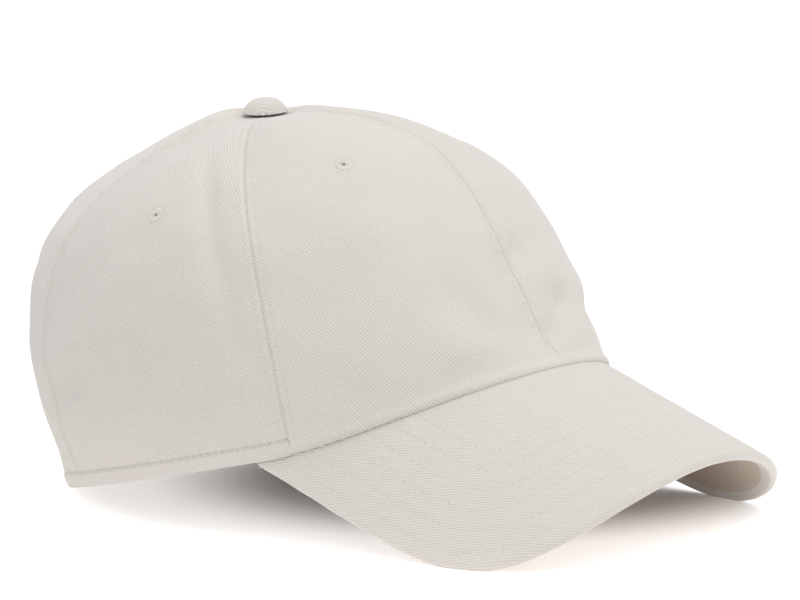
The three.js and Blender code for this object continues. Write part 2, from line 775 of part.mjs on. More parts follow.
const TIP = standingTip();
const FLOOR = lowest(STANDING[0], TIP) + FOOT_CUT;
const GROUND = { width: 500, depth: 60 }; // a slab whose top is where the cap stands
for (const mesh of STANDING) {
  const slab = new THREE.BoxGeometry(GROUND.width, GROUND.width, GROUND.depth);
  const ground = slab.translate(0, 0, FLOOR - GROUND.depth / 2).rotateX(TIP);
  mesh.geometry = cut(mesh.geometry, [ground]);
}

cap.rotation.x = -TIP;
cap.updateMatrixWorld(true);
const middle = new THREE.Box3().setFromObject(cap, true).getCenter(new THREE.Vector3());
cap.position.set(-middle.x, -middle.y, -FLOOR);

const group = new THREE.Group();
group.add(cap);
export default group;
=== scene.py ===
"""A stone-coloured six-panel baseball cap: the cloth, thread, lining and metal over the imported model.

Shapes are worked out in millimetres in the cap's own frame, where the hem plane is level at z = 0,
the front is -Y and the wearer's left is +X. The model's frame tips that frame nose-up.
"""
import json
from math import ceil, cos, pi, radians, sin, sqrt, tan

import bpy
import numpy as np
from mathutils import Matrix


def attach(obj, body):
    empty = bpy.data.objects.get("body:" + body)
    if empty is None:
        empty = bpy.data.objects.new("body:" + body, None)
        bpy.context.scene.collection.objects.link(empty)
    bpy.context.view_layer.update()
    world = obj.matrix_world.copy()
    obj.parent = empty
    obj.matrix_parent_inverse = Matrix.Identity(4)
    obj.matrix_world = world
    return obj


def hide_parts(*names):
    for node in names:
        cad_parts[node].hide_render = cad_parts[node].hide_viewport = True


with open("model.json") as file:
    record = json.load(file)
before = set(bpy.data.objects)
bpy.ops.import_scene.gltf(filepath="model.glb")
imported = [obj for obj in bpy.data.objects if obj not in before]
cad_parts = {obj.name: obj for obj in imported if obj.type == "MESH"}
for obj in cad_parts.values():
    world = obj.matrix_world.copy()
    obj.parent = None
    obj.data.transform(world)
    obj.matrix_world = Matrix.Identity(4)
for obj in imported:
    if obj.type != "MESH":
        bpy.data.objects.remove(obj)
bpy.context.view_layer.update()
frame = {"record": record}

MM = 0.001
SEED = 11
rng = np.random.default_rng(SEED)

# ---------------------------------------------------------------- driving dimensions (mm and degrees)

HEM_FRONT = 96.5
HEM_BACK = 96.5
HEM_SIDE = 82.0
CROWN_HEIGHT = 108.5
APEX_BACK = 7.0
MERIDIAN = {
    "front": (0.92, 0.27, -0.21),
    "side": (0.91, 0.465, 0.24),
    "back": (0.65, 1.035, 0.23),
}
SIDE_SEAM_HEM = 65.0
SIDE_SEAM_APEX = 70.0
REAR_SEAM = 122.0
APEX_HOLE = 0.016
TOP_RISE = 2.0
TOP_REACH = 28.0
PANEL = 1.0
TAPE = 0.6
LAYER_GAP = 0.55
TAPE_WIDTH = 11.0
TAPE_TOP = 0.068
TAPE_BOTTOM = 0.965
ARCH_HALF_WIDTH = 37.0
ARCH_LEG = 4.0
BINDING_WIDTH = 8.0

BILL_SLOPE = radians(33.75)
BILL_HALF_ARC = 96.5
BILL_ARC_ANGLE = radians(63)
BILL_RADIUS = BILL_HALF_ARC / BILL_ARC_ANGLE
BILL_LENGTH = 62.5
BILL_SIDE_POWER = 0.845
BILL_FRONT_POWER = 0.33
BILL_CLOTH = 0.7
BILL_THICKNESS = 3.5
BILL_WRAP = 3.0
BILL_SINK = 0.3

BAND_HEIGHT = 32.0
BAND_DEPTH = 2.7
BAND_BACKING = 0.6
BAND_FACE = 0.9
POCKET_DEPTH = 4.1

STRAP_AXIS_Y = 24.0
CONE_RADIUS = 72.1
CONE_FLARE = 0.153
STRAP_LOW = 7.0
STRAP_HIGH = 23.0
STRAP_OUTER = -4.3
STRAP_THICK = 1.2
STRAP_TAIL = -60.0
STRAP_SEWN = 50.0
STRAP_ROW_INSET = 2.0
STRAP_END_ROUND = 0.6
CLASP_ARC = -18.0
CLASP_HALF = 11.0
BAR_WIDTH = 1.6

EYELETS = [("front_panel", 38.5, 0.362), ("side_panel", 90.0, 0.426), ("back_panel", 145.0, 0.44)]
EYELET_HOLE = 1.7
EYELET_HALO = 4.1

SEAM_STITCH = 2.5
SEAM_NARROWS = 24.0
HEM_EDGE = 0.5
FRONT_EDGE = 0.8

# What sewing does to the cloth: depth of the seams, rise over their allowances, over the turned hem
# and over the rolled edge above the bill, and the puckers and gathers along the stitches
SEAM_DEPTH = 0.5
ALLOWANCE_RISE = 0.16
HEM_RISE = 0.5
ROLL_RISE = 0.6
ROLL_HEIGHT = 1.9
PUCKER_RISE = 0.11
PUCKER_LENGTH = 5.9
GATHER_LENGTH = 7.3
HEM_STITCH = 5.0
STITCH_PITCH = 2.7
STITCH_LENGTH = 2.15
STITCH_RADIUS = 0.2

# ---------------------------------------------------------------- frames

HEAD_OPENING = next(m for m in frame["record"]["mounts"] if m["name"] == "head_opening")
CAP_ORIGIN = np.array(HEAD_OPENING["pos_m"])
CAP_UP = -np.array(HEAD_OPENING["axis"], dtype=float)
CAP_UP /= np.linalg.norm(CAP_UP)
CAP_LEFT = np.array([1.0, 0.0, 0.0])
CAP_AXES = np.array([CAP_LEFT, np.cross(CAP_UP, CAP_LEFT), CAP_UP])


def to_world(points):
    """Cap-frame millimetres to the model's metres."""
    return CAP_ORIGIN + np.asarray(points) @ CAP_AXES * MM


def smoothstep(value, low, high):
    t = np.clip((value - low) / (high - low), 0.0, 1.0)
    return t * t * (3.0 - 2.0 * t)


def lerp(a, b, t):
    return a + (b - a) * t


def unit(vectors):
    return vectors / np.linalg.norm(vectors, axis=-1, keepdims=True)


def wrapped(angle):
    """The same angle, from -pi to pi."""
    return np.arctan2(np.sin(angle), np.cos(angle))


def bell(value, width):
    """1 where the value is 0, falling smoothly away on both sides."""
    return np.exp(-((value / width) ** 2))


def quarter_round(share, least=0.0):
    """Falls from 1 as a quarter circle does while the share goes from 0 to 1."""
    return np.sqrt(np.clip(1.0 - np.clip(share, 0.0, 1.0) ** 2, least, 1.0))


def run_along(path):
    """Distance along a path to each of its points."""
    return np.concatenate([[0.0], np.cumsum(np.linalg.norm(np.diff(path, axis=0), axis=1))])


def read_along(at, run, values):
    """Values listed along a path, read at distances along it."""
    return np.stack([np.interp(at, run, column) for column in values.T], axis=-1)


# ---------------------------------------------------------------- the crown's surface


def hem_forward(angle, drop):
    """How far down the bill's slope the hem lies, from its angle and its drop on the bend."""
    return (drop * sin(BILL_SLOPE) - HEM_FRONT * (1.0 - np.cos(angle))) / cos(BILL_SLOPE)


def hem_on_bend(q):
    bend = q / BILL_RADIUS
    angle = np.arcsin(BILL_RADIUS * np.sin(bend) / HEM_SIDE)
    drop = BILL_RADIUS * (1.0 - np.cos(bend))
    return angle, drop, hem_forward(angle, drop)


CORNER_ANGLE, CORNER_DROP, CORNER_FORWARD = hem_on_bend(BILL_HALF_ARC)
FRONT_RISE = CORNER_FORWARD * sin(BILL_SLOPE) + CORNER_DROP * cos(BILL_SLOPE)


def hem_height(angle):
    """Height of the hem over its plane: it rises over the bill and is level behind its corners."""
    turn = np.abs(wrapped(angle))
    near = np.minimum(turn, CORNER_ANGLE)
    bend = np.arcsin(HEM_SIDE * np.sin(near) / BILL_RADIUS)
    drop = BILL_RADIUS * (1.0 - np.cos(bend))
    rise = FRONT_RISE - hem_forward(near, drop) * sin(BILL_SLOPE) - drop * cos(BILL_SLOPE)
    return np.where(turn < CORNER_ANGLE, rise, 0.0)


def crown_surface(angle, down):
    """The crown without its folds: angle from the front to the wearer's left, down 0 apex to 1 hem."""
    angle, down = np.broadcast_arrays(np.asarray(angle, float), np.asarray(down, float))
    share = {
        "front": np.maximum(np.cos(angle), 0.0) ** 2,
        "side": np.sin(angle) ** 2,
        "back": np.maximum(-np.cos(angle), 0.0) ** 2,
    }
    shoulder, waist_share, belly = (sum(share[s] * MERIDIAN[s][k] for s in share) for k in range(3))
    up = 1.0 - down
    near = 3.0 * down * up**2
    far = 3.0 * down**2 * up
    end = down**3
    reach = near * shoulder + far * (1.0 + belly) + end
    foot = hem_height(angle)
    waist = foot + waist_share * (CROWN_HEIGHT - foot)
    depth = np.where(np.cos(angle) > 0.0, HEM_FRONT, HEM_BACK)
    x = HEM_SIDE * np.sin(angle) * reach
    y = APEX_BACK * (1.0 - reach) - depth * np.cos(angle) * reach
    z = (up**3 + near) * CROWN_HEIGHT + far * waist + end * foot
    top_rise = TOP_RISE * np.exp(-(x**2 + (y - APEX_BACK) ** 2) / TOP_REACH**2)
    return np.stack([x, y, z + top_rise], axis=-1)


def crown_across(angle, down):
    """Millimetres of cloth per radian round the crown."""
    step = 1e-3
    move = crown_surface(angle + step, down) - crown_surface(angle - step, down)
    return np.linalg.norm(move, axis=-1) / (2.0 * step)


def crown_normal(angle, down):
    """The crown's outward direction, leaving out its folds."""
    step = 1e-3
    across = crown_surface(angle + step, down) - crown_surface(angle - step, down)
    along = crown_surface(angle, down + step) - crown_surface(angle, down - step)
    return unit(np.cross(along, across))


TABLE_ANGLES = np.radians(np.arange(-182.0, 183.0, 2.0))
TABLE_DOWNS = np.linspace(0.0, 1.0, 201)


def height_table():
    """Millimetres of cloth below each point of the table's meridians."""
    meridians = crown_surface(TABLE_ANGLES[:, None], TABLE_DOWNS[None, :])
    steps = np.linalg.norm(np.diff(meridians, axis=1), axis=-1)
    below = np.cumsum(steps[:, ::-1], axis=1)[:, ::-1]
    return np.concatenate([below, np.zeros((len(TABLE_ANGLES), 1))], axis=1)


HEIGHT_TABLE = height_table()


def height_on_cloth(angle, down):
    """Millimetres of cloth between a point of the crown and the hem below it."""
    turn = wrapped(angle)
    column = (turn - TABLE_ANGLES[0]) / (TABLE_ANGLES[1] - TABLE_ANGLES[0])
    row = np.clip(down, 0.0, 1.0) * (len(TABLE_DOWNS) - 1)
    i = np.clip(np.floor(column).astype(int), 0, len(TABLE_ANGLES) - 2)
    j = np.clip(np.floor(row).astype(int), 0, len(TABLE_DOWNS) - 2)
    s, t = column - i, row - j
    low = lerp(HEIGHT_TABLE[i, j], HEIGHT_TABLE[i + 1, j], s)
    high = lerp(HEIGHT_TABLE[i, j + 1], HEIGHT_TABLE[i + 1, j + 1], s)
    return lerp(low, high, t)


def down_at_height(angle, height):
    """The meridian share at a height on the cloth, by bisection."""
    low, high = np.zeros_like(height), np.ones_like(height)
    for _ in range(30):
        middle = (low + high) / 2.0
        above = height_on_cloth(angle, middle) > height
        low, high = np.where(above, middle, low), np.where(above, high, middle)
    return (low + high) / 2.0


def crown_behind(x, z):
    """The angle and meridian share of the crown's rear surface at (x, z)."""
    angle = pi - np.arcsin(x / HEM_SIDE)
    down = np.full_like(angle, 0.9)
    for _ in range(60):
        point = crown_surface(angle, down)
        angle = angle + (point[..., 0] - x) / HEM_SIDE
        down = down + (point[..., 2] - z) / (3.0 * CROWN_HEIGHT)
    return angle, down


def side_seam(down):
    """The seam between a front and a side panel, which swings back towards the apex."""
    return np.radians(lerp(SIDE_SEAM_HEM, SIDE_SEAM_APEX, (1.0 - down) ** 2))


def level_seam(degrees):
    """A seam that keeps to one meridian."""
    return lambda down: np.full_like(np.asarray(down, float), radians(degrees))


SEAMS = {
    "front": level_seam(0.0),
    "left_front": side_seam,
    "right_front": lambda down: -side_seam(down),
    "left_rear": level_seam(REAR_SEAM),
    "right_rear": level_seam(-REAR_SEAM),
    "back": level_seam(180.0),
}

# ---------------------------------------------------------------- folds and relief of the cloth

# The cloth round the button leans forward and a little to the wearer's right
BUTTON_LEAN = radians(12.3)
BUTTON_TILT = radians(5.0)
BUTTON_LIFT = 0.2
BUTTON_SEAT = 16.0

# The cloth beside and behind the button stands up round it, most on the side that faces backward
NEST_RISE = 3.6
NEST_REACH = 44.0
NEST_START = 7.0
NEST_FULL = 16.0
NEST_OPEN_TO = (-0.79, -0.61)

# Every fold's rise is multiplied by this
FOLD_STRENGTH = 1.7

# Soft folds of the washed cloth: degrees round from the front (the wearer's left is
# positive), height on the cloth, half-length and half-width, tilt of the length from upright, and rise
FOLDS = [
    (-75, 80, 40, 3.8, -10, -1.0),
    (-68, 84, 28, 5.0, -12, 0.5),
    (-110, 46, 20, 5.0, 81, 1.1),
    (-113, 34, 15, 5.5, 80, -1.2),
    (-91, 24, 16, 6.0, 80, 0.8),
    (-82, 62, 20, 12.0, 20, -0.8),
    (-150, 60, 20, 9.0, 30, -0.7),
    (7, 43, 8, 5.0, 50, -1.3),
    (12, 33, 10, 5.0, 65, 0.9),
    (17.5, 23, 9, 4.5, 70, -1.5),
    (4, 13, 8, 4.0, 55, -0.9),
    (41, 22, 10, 4.5, 84, -1.0),
    (40, 34, 12, 6.0, 80, 0.3),
    (-6, 36, 13, 5.0, 18, -0.8),
    (-13, 30, 14, 6.0, 18, 0.6),
    (-22, 32, 15, 9.0, -30, -0.9),
    (-34, 52, 24, 13.0, -35, 0.5),
    (-50, 42, 20, 11.0, 35, -0.7),
    (74, 66, 26, 6.0, -10, -1.0),
    (84, 56, 22, 8.0, -8, 0.7),
    (116, 34, 17, 6.5, 74, -1.2),
    (118, 47, 17, 6.5, 70, 1.0),
    (94, 24, 18, 8.0, 82, 0.8),
    (168, 76, 18, 8.0, 50, -1.0),
    (-166, 70, 16, 7.0, 60, 0.9),
    (158, 102, 20, 10.0, 20, 0.8),
]

# Broad and fine unevenness of the cloth: wavelength, height and number of waves
UNEVENNESS = [(74.0, 0.55, 5), (38.0, 0.36, 6), (19.0, 0.16, 8)]
WAVES = [
    (unit(rng.normal(size=3)) * 2.0 * pi / length, rng.uniform(0.0, 2.0 * pi), height / sqrt(count))
    for length, height, count in UNEVENNESS
    for _ in range(count)
]


def apex_distance(point):
    """Distance from the crown's middle, seen from above."""
    return np.hypot(point[..., 0], point[..., 1] - APEX_BACK)


def fold_relief(angle, down):
    """The cloth's soft folds, shared by every layer of the crown, faded out at the hem and button."""
    height = height_on_cloth(angle, down)
    across = crown_across(angle, down)
    point = crown_surface(angle, down)
    rise = sum(h * np.sin(point @ wave + phase) for wave, phase, h in WAVES)
    for degrees, level, half_length, half_width, tilt, depth in FOLDS:
        turn = wrapped(angle - radians(degrees))
        x, y = turn * across, height - level
        along = x * sin(radians(tilt)) + y * cos(radians(tilt))
        aside = x * cos(radians(tilt)) - y * sin(radians(tilt))
        reach = (along / half_length) ** 2 + (aside / half_width) ** 2
        rise = rise + FOLD_STRENGTH * depth * np.exp(-reach)
    x, y = point[..., 0], point[..., 1] - APEX_BACK
    from_apex = apex_distance(point)
    lean = (y * tan(BUTTON_LEAN) + x * tan(BUTTON_TILT)) * bell(from_apex, BUTTON_SEAT)
    toward_opening = (NEST_OPEN_TO[0] * x + NEST_OPEN_TO[1] * y) / np.maximum(from_apex, 1e-6)
    reach = lerp(NEST_REACH, 0.5 * NEST_REACH, smoothstep(x - y, -10.0, 10.0))
    nest = NEST_RISE * bell(from_apex, reach) * smoothstep(from_apex, NEST_START, NEST_FULL)
    nest = nest * (1.0 - smoothstep(toward_opening, 0.0, 0.75))
    return rise * smoothstep(height, 3.0, 14.0) * smoothstep(from_apex, 6.0, 26.0) + lean + nest


def seam_distances(angle, down):
    """Distance along the cloth to the nearest seam, and that seam's number."""
    across = crown_across(angle, down)
    turns = np.stack([angle - seam(down) for seam in SEAMS.values()])
    distance = np.abs(wrapped(turns)) * across
    return distance.min(axis=0), distance.argmin(axis=0)


def seam_narrowing(point):
    """How much narrower the seams are sewn where the panels come together at the button."""
    return np.clip(apex_distance(point) / SEAM_NARROWS, 0.25, 1.0)


def panel_relief(angle, down):
    """What sewing does to a panel's outside: seams, stitch lines, hem and the eyelets' puckers."""
    height = height_on_cloth(angle, down)
    distance, seam = seam_distances(angle, down)
    point = crown_surface(angle, down)
    narrow = seam_narrowing(point)
    d = distance / narrow
    groove = -SEAM_DEPTH * bell(d, 0.5) * smoothstep(apex_distance(point), 9.0, SEAM_NARROWS)
    allowance = ALLOWANCE_RISE * (1.0 - smoothstep(d, 2.8, 4.8))
    pulled = -0.18 * bell(d - SEAM_STITCH, 0.55)
    wave = np.sin(height * 2.0 * pi / PUCKER_LENGTH + seam * 2.1 + 1.3 * np.sin(height / 9.0))
    puckers = PUCKER_RISE * wave * bell(d, 4.2) * smoothstep(d, 0.3, 1.5)
    relief = (groove + allowance + pulled + puckers) * narrow
    relief = relief * smoothstep(height, 1.2, 4.6)

    sides = behind_side_seam(angle)
    turned = HEM_RISE * (1.0 - smoothstep(height, HEM_STITCH - 0.5, HEM_STITCH + 0.3))
    stitched = -0.3 * bell(height - HEM_STITCH, 0.5)
    gathers = np.sin(angle * HEM_SIDE * 2.0 * pi / GATHER_LENGTH + 2.0 * np.sin(angle * 9.0))
    turned = turned + 0.1 * gathers * bell(height - HEM_STITCH, 3.2)
    roll = ROLL_RISE * bell(height - ROLL_HEIGHT, 1.7)
    relief = relief + np.where(sides, turned + stitched, roll)

    for _, degrees, share in EYELETS:
        for sign in (-1, 1):
            centre = crown_surface(radians(sign * degrees), share)
            offset = point - centre
            radius = np.linalg.norm(offset, axis=-1)
            spoke = np.arctan2(offset[..., 2], (angle - radians(sign * degrees)) * HEM_SIDE * 0.6)
            halo = 0.2 * bell(radius - EYELET_HALO, 0.75) * (1.0 + 0.4 * np.sin(7.0 * spoke))
            relief = relief + halo - 0.32 * np.exp(-((radius / 2.9) ** 4))
    return relief - edge_depth(angle, down)


def behind_side_seam(angle):
    """Whether the hem is turned up and stitched here; over the bill it is rolled instead."""
    return np.abs(wrapped(angle)) > side_seam(1.0)


def edge_rounding(height, radius):
    """How far a face falls back beside the cloth's edge for the edge to be round."""
    short = radius - np.minimum(height, radius)
    return radius - np.sqrt(np.clip(radius**2 - short**2, 0.0, None))


def crown_layer(angle, down, depth):
    """A point of the folded crown, this deep inside the panels' outer face."""
    lift = fold_relief(angle, down) - depth
    return crown_surface(angle, down) + crown_normal(angle, down) * np.asarray(lift)[..., None]


def panel_face(angle, down):
    """The outside of the panels as sewn."""
    return crown_layer(angle, down, -panel_relief(angle, down))


def panel_inside(angle, down):
    """The inside of the panels, a cloth's thickness in, closed up towards the hem's round edge."""
    rounding = edge_rounding(height_on_cloth(angle, down), HEM_EDGE)
    return crown_layer(angle, down, np.maximum(PANEL - rounding, 0.1 + edge_depth(angle, down)))


def edge_depth(angle, down):
    """Depth of the outer face beside the hem's edge, so that the inner face stays behind it."""
    radius = np.where(behind_side_seam(angle), HEM_EDGE, FRONT_EDGE)
    return edge_rounding(height_on_cloth(angle, down), radius)


# ---------------------------------------------------------------- meshes


FLOOR_CLEARANCE = 0.05 * MM
SHARP_ANGLE = radians(50.0)


def set_vectors(mesh, name, values):
    """Stores two or three numbers for each point of a mesh, for its material to read."""
    vectors = np.zeros((len(mesh.vertices), 3), np.float32)
    vectors[:, : values.shape[1]] = values
    mesh.attributes.new(name, "FLOAT_VECTOR", "POINT").data.foreach_set("vector", vectors.ravel())


def new_mesh(name, points, faces, cloth=None, sewn=None):
    """A smooth mesh in the model's frame, kept just clear of the floor.

    faces is a list of index arrays, cloth the weave's millimetres, and sewn the painted shade of each
    point in a seam's groove and in a line of stitches, with its place along that line.
    """
    mesh = bpy.data.meshes.new(name)
    loops = np.concatenate([np.asarray(group).ravel() for group in faces]).astype(np.int32)
    sizes = np.concatenate([np.full(len(group), np.asarray(group).shape[1]) for group in faces])
    mesh.vertices.add(len(points))
    placed = to_world(points)
    placed[:, 2] = np.maximum(placed[:, 2], FLOOR_CLEARANCE)
    mesh.vertices.foreach_set("co", placed.astype(np.float32).ravel())
    mesh.loops.add(len(loops))
    mesh.loops.foreach_set("vertex_index", loops)
    mesh.polygons.add(len(sizes))
    starts = np.concatenate([[0], np.cumsum(sizes)[:-1]]).astype(np.int32)
    mesh.polygons.foreach_set("loop_start", starts)
    mesh.update(calc_edges=True)
    if cloth is not None:
        set_vectors(mesh, "cloth", cloth)
    if sewn is not None:
        set_vectors(mesh, "sewn", sewn)
    mesh.validate()
    mesh.shade_smooth()
    mesh.set_sharp_from_angle(angle=SHARP_ANGLE)
    return mesh


def link(name, data):
    obj = bpy.data.objects.new(name, data)
    bpy.context.scene.collection.objects.link(obj)
    return obj


def piece(mesh, material, body="crown", replaces=()):
    obj = link(mesh.name, mesh)
    mesh.materials.append(material)
    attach(obj, body)
    if replaces:
        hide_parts(*replaces)
    return obj


def quads(index):
    """Quads of a grid of point numbers, wound so that row i to i + 1 turns left of column j to j + 1."""
    corners = index[:-1, :-1], index[:-1, 1:], index[1:, 1:], index[1:, :-1]
    return np.stack(corners, axis=-1).reshape(-1, 4)


def shell(outer, inner, keep=None):
    """A closed skin between two grids of points, walled along every edge of the cells it keeps."""
    count = outer.shape[0] * outer.shape[1]
    cells = quads(np.arange(count).reshape(outer.shape[:2]))
    if keep is not None:
        cells = cells[keep.ravel()]
    edges = np.concatenate([cells[:, [k, (k + 1) % 4]] for k in range(4)])
    codes = edges[:, 0] * count + edges[:, 1]
    border = edges[~np.isin(codes, edges[:, 1] * count + edges[:, 0])]
    walls = np.stack([border[:, 1], border[:, 0], border[:, 0] + count, border[:, 1] + count], axis=-1)
    faces = np.concatenate([cells, cells[:, ::-1] + count, walls])
    used, packed = np.unique(faces, return_inverse=True)
    points = np.concatenate([outer.reshape(-1, 3), inner.reshape(-1, 3)])
    return points[used], packed.reshape(-1, 4), used % count


def tube(sections):
    """A closed body from rings of points: sections is (stations, ring, 3), capped at both ends."""
    stations, ring = sections.shape[:2]
    index = np.arange(stations * ring).reshape(stations, ring)
    sides = quads(np.pad(index, ((0, 0), (0, 1)), mode="wrap"))
    caps = np.stack([index[0][::-1], index[-1]])
    return sections.reshape(-1, 3), [sides, caps]


def skin(name, outer, inner, flat, material, slot, sewn=None, keep=None):
    """A closed cloth skin between two grids of points, in place of the model's node of that name."""
    points, faces, used = shell(outer, inner, keep)
    cloth = flat.reshape(-1, 2)[used]
    if sewn is not None:
        sewn = sewn.reshape(-1, 3)[used]
    ending = "_felt" if slot == "interlining" else "_cloth"
    mesh = new_mesh(name + ending, points, [faces], cloth, sewn)
    return piece(mesh, material, replaces=[name])


# ---------------------------------------------------------------- materials


class Shader:
    """A material with one Principled node, and short calls for the nodes that drive it."""

    def __init__(self, name, roughness=0.9, **constants):
        self.material = bpy.data.materials.new(name)
        self.material.use_nodes = True
        self.nodes = self.material.node_tree.nodes
        self.links = self.material.node_tree.links
        self.surface = self.nodes["Principled BSDF"]
        self.surface.inputs["Roughness"].default_value = roughness
        for socket, value in constants.items():
            self.surface.inputs[socket.replace("_", " ")].default_value = value

    def add(self, kind, inputs=(), **settings):
        node = self.nodes.new(kind)
        for key, value in settings.items():
            setattr(node, key, value)
        for socket, value in dict(inputs).items():
            self.feed(node.inputs[socket], value)
        return node

    def feed(self, socket, value):
        if hasattr(value, "is_output"):
            self.links.new(value, socket)
        else:
            socket.default_value = value

    def math(self, operation, first, second=0.0, third=0.0):
        node = self.add("ShaderNodeMath", {0: first, 1: second, 2: third}, operation=operation)
        return node.outputs[0]

    def wave(self, value, rate):
        return self.math("SINE", self.math("MULTIPLY", value, rate))

    def noise(self, scale, detail=2.0, roughness=0.5, at=None):
        at = self.position() if at is None else at
        inputs = {"Vector": at, "Scale": scale, "Detail": detail, "Roughness": roughness}
        return self.add("ShaderNodeTexNoise", inputs).outputs["Fac"]

    def remap(self, value, low, high, to_low, to_high, blend="LINEAR"):
        inputs = {0: value, 1: low, 2: high, 3: to_low, 4: to_high}
        return self.add("ShaderNodeMapRange", inputs, interpolation_type=blend).outputs[0]

    def tint(self, share, low, high, clamp=True):
        """A colour between two, from low at 0 to high at 1."""
        node = self.add("ShaderNodeMix", data_type="RGBA", clamp_factor=clamp)
        self.feed(node.inputs["Factor"], share)
        node.inputs["A"].default_value = (*low, 1.0)
        node.inputs["B"].default_value = (*high, 1.0)
        return node.outputs["Result"]

    def position(self):
        """The point of the surface in the model's metres."""
        return self.add("ShaderNodeTexCoord").outputs["Object"]

    def flat_cloth(self):
        """Across and along the cloth in millimetres, from the piece's own pattern."""
        attribute = self.add("ShaderNodeAttribute", attribute_name="cloth")
        split = self.add("ShaderNodeSeparateXYZ", {0: attribute.outputs["Vector"]})
        return split.outputs["X"], split.outputs["Y"]

    def finish(self, colour=None, roughness=None, height=None, distance=0.0003):
        if colour is not None:
            self.links.new(colour, self.surface.inputs["Base Color"])
        if roughness is not None:
            self.links.new(roughness, self.surface.inputs["Roughness"])
        if height is not None:
            bump = self.add("ShaderNodeBump", {"Height": height})
            bump.inputs["Distance"].default_value = distance
            self.links.new(bump.outputs["Normal"], self.surface.inputs["Normal"])
        return self.material


def shade(colour, factor):
    return tuple(channel * factor for channel in colour)


STONE = (0.588, 0.552, 0.518)
# The bill's underside colour is the stone colour made darker and warmer: painted shade and warm bounce
# light under the bill.
STONE_PAINTED_UNDER_SHADE = (0.49, 0.40, 0.33)
LINING = (0.56, 0.525, 0.48)
THREAD = (0.62, 0.588, 0.55)


def twill_material(name, colour, period=0.88, slope=58.0, depth=0.00016):
    """Twill: slanting ribs of short yarn floats, with flecks, slight unevenness of the dye, and painted
    shade along the seams and in the hem's needle holes.
    """
    shader = Shader(name, Sheen_Weight=0.22, Sheen_Roughness=0.45, Specular_IOR_Level=0.25)
    across, along = shader.flat_cloth()
    lean = radians(slope)
    wander = shader.noise(260.0, 2.0)
    over = shader.math("MULTIPLY", across, sin(lean) / period)
    over = shader.math("MULTIPLY_ADD", along, cos(lean) / period, over)
    over = shader.math("MULTIPLY_ADD", wander, 0.2, over)
    rib = shader.math("FRACT", over)
    crest = shader.wave(rib, pi)
    number = shader.math("FLOOR", over)
    run = shader.math("MULTIPLY", across, cos(lean) / (0.75 * period))
    run = shader.math("MULTIPLY_ADD", along, -sin(lean) / (0.75 * period), run)
    run = shader.math("MULTIPLY_ADD", number, 0.37, run)
    yarn = shader.math("ABSOLUTE", shader.wave(run, pi))
    fuzz = shader.noise(5200.0, 3.0, 0.6)
    height = shader.math("MULTIPLY", crest, shader.remap(yarn, 0.0, 0.6, 0.72, 1.0))
    height = shader.math("MULTIPLY_ADD", fuzz, 0.25, height)
    mottle = shader.noise(42.0, 3.0, 0.6)
    fleck = shader.noise(1500.0, 2.0, 0.7)
    tone = shader.remap(crest, 0.0, 1.0, 0.18, 0.62)
    tone = shader.math("MULTIPLY_ADD", mottle, 0.2, tone)
    tone = shader.math("MULTIPLY_ADD", fleck, 0.16, tone)
    tone = shader.math("SUBTRACT", tone, 0.1)
    # Painted shade: the cloth is darkened in the seams' grooves and in the needle holes of the hem's
    # stitch line.
    sewn = shader.add("ShaderNodeAttribute", attribute_name="sewn")
    sewn = shader.add("ShaderNodeSeparateXYZ", {0: sewn.outputs["Vector"]})
    needle_hole_shade = shader.math("MULTIPLY", sewn.outputs["Z"], 2.0 * pi / STITCH_PITCH)
    needle_hole_shade = shader.remap(shader.math("COSINE", needle_hole_shade), -0.1, 0.9, 0.12, 0.8)
    needle_hole_shade = shader.math("MULTIPLY", needle_hole_shade, sewn.outputs["Y"])
    shadow = shader.math("MULTIPLY_ADD", sewn.outputs["X"], 0.5, needle_hole_shade)
    tone = shader.math("SUBTRACT", tone, shadow)
    base = shader.tint(tone, shade(colour, 0.86), shade(colour, 1.08), clamp=False)
    roughness = shader.remap(fuzz, 0.3, 0.7, 0.84, 0.97)
    return shader.finish(base, roughness, height, depth)


def weave_material(name, colour, period=0.55, depth=0.00015):
    """Plain weave: yarns over and under in both directions."""
    shader = Shader(name, Sheen_Weight=0.15, Sheen_Roughness=0.5, Specular_IOR_Level=0.25)
    across, along = shader.flat_cloth()
    first = shader.wave(across, 2.0 * pi / period)
    second = shader.wave(along, 2.0 * pi / period)
    weave = shader.math("MULTIPLY", first, second)
    fuzz = shader.noise(4200.0, 3.0, 0.6)
    height = shader.math("MULTIPLY_ADD", fuzz, 0.6, weave)
    mottle = shader.noise(60.0, 3.0)
    tone = shader.remap(weave, -1.0, 1.0, 0.1, 0.6)
    tone = shader.math("MULTIPLY_ADD", mottle, 0.5, tone)
    base = shader.tint(tone, shade(colour, 0.84), shade(colour, 1.08))
    return shader.finish(base, shader.remap(fuzz, 0.3, 0.7, 0.85, 0.97), height, depth)


def thread_material(name, colour):
    """Spun thread: fine strands with a slight gloss."""
    shader = Shader(name, Sheen_Weight=0.2, Specular_IOR_Level=0.4)
    strand = shader.noise(3800.0, 3.0, 0.65)
    mottle = shader.noise(300.0, 2.0)
    tone = shader.math("MULTIPLY_ADD", mottle, 0.4, shader.remap(strand, 0.3, 0.7, 0.1, 0.6))
    base = shader.tint(tone, shade(colour, 0.82), shade(colour, 1.06))
    return shader.finish(base, shader.remap(strand, 0.3, 0.7, 0.62, 0.85), strand, 0.0001)


def felt_material(name, colour):
    """Non-woven interlining: matted fibres with small pressed dots."""
    shader = Shader(name, roughness=0.95)
    fibre = shader.noise(2600.0, 5.0, 0.75)
    clump = shader.noise(420.0, 2.0)
    tone = shader.math("MULTIPLY_ADD", clump, 0.5, shader.remap(fibre, 0.3, 0.7, 0.0, 0.6))
    base = shader.tint(tone, shade(colour, 0.85), shade(colour, 1.05))
    return shader.finish(base, shader.remap(fibre, 0.3, 0.7, 0.88, 1.0), fibre, 0.00025)


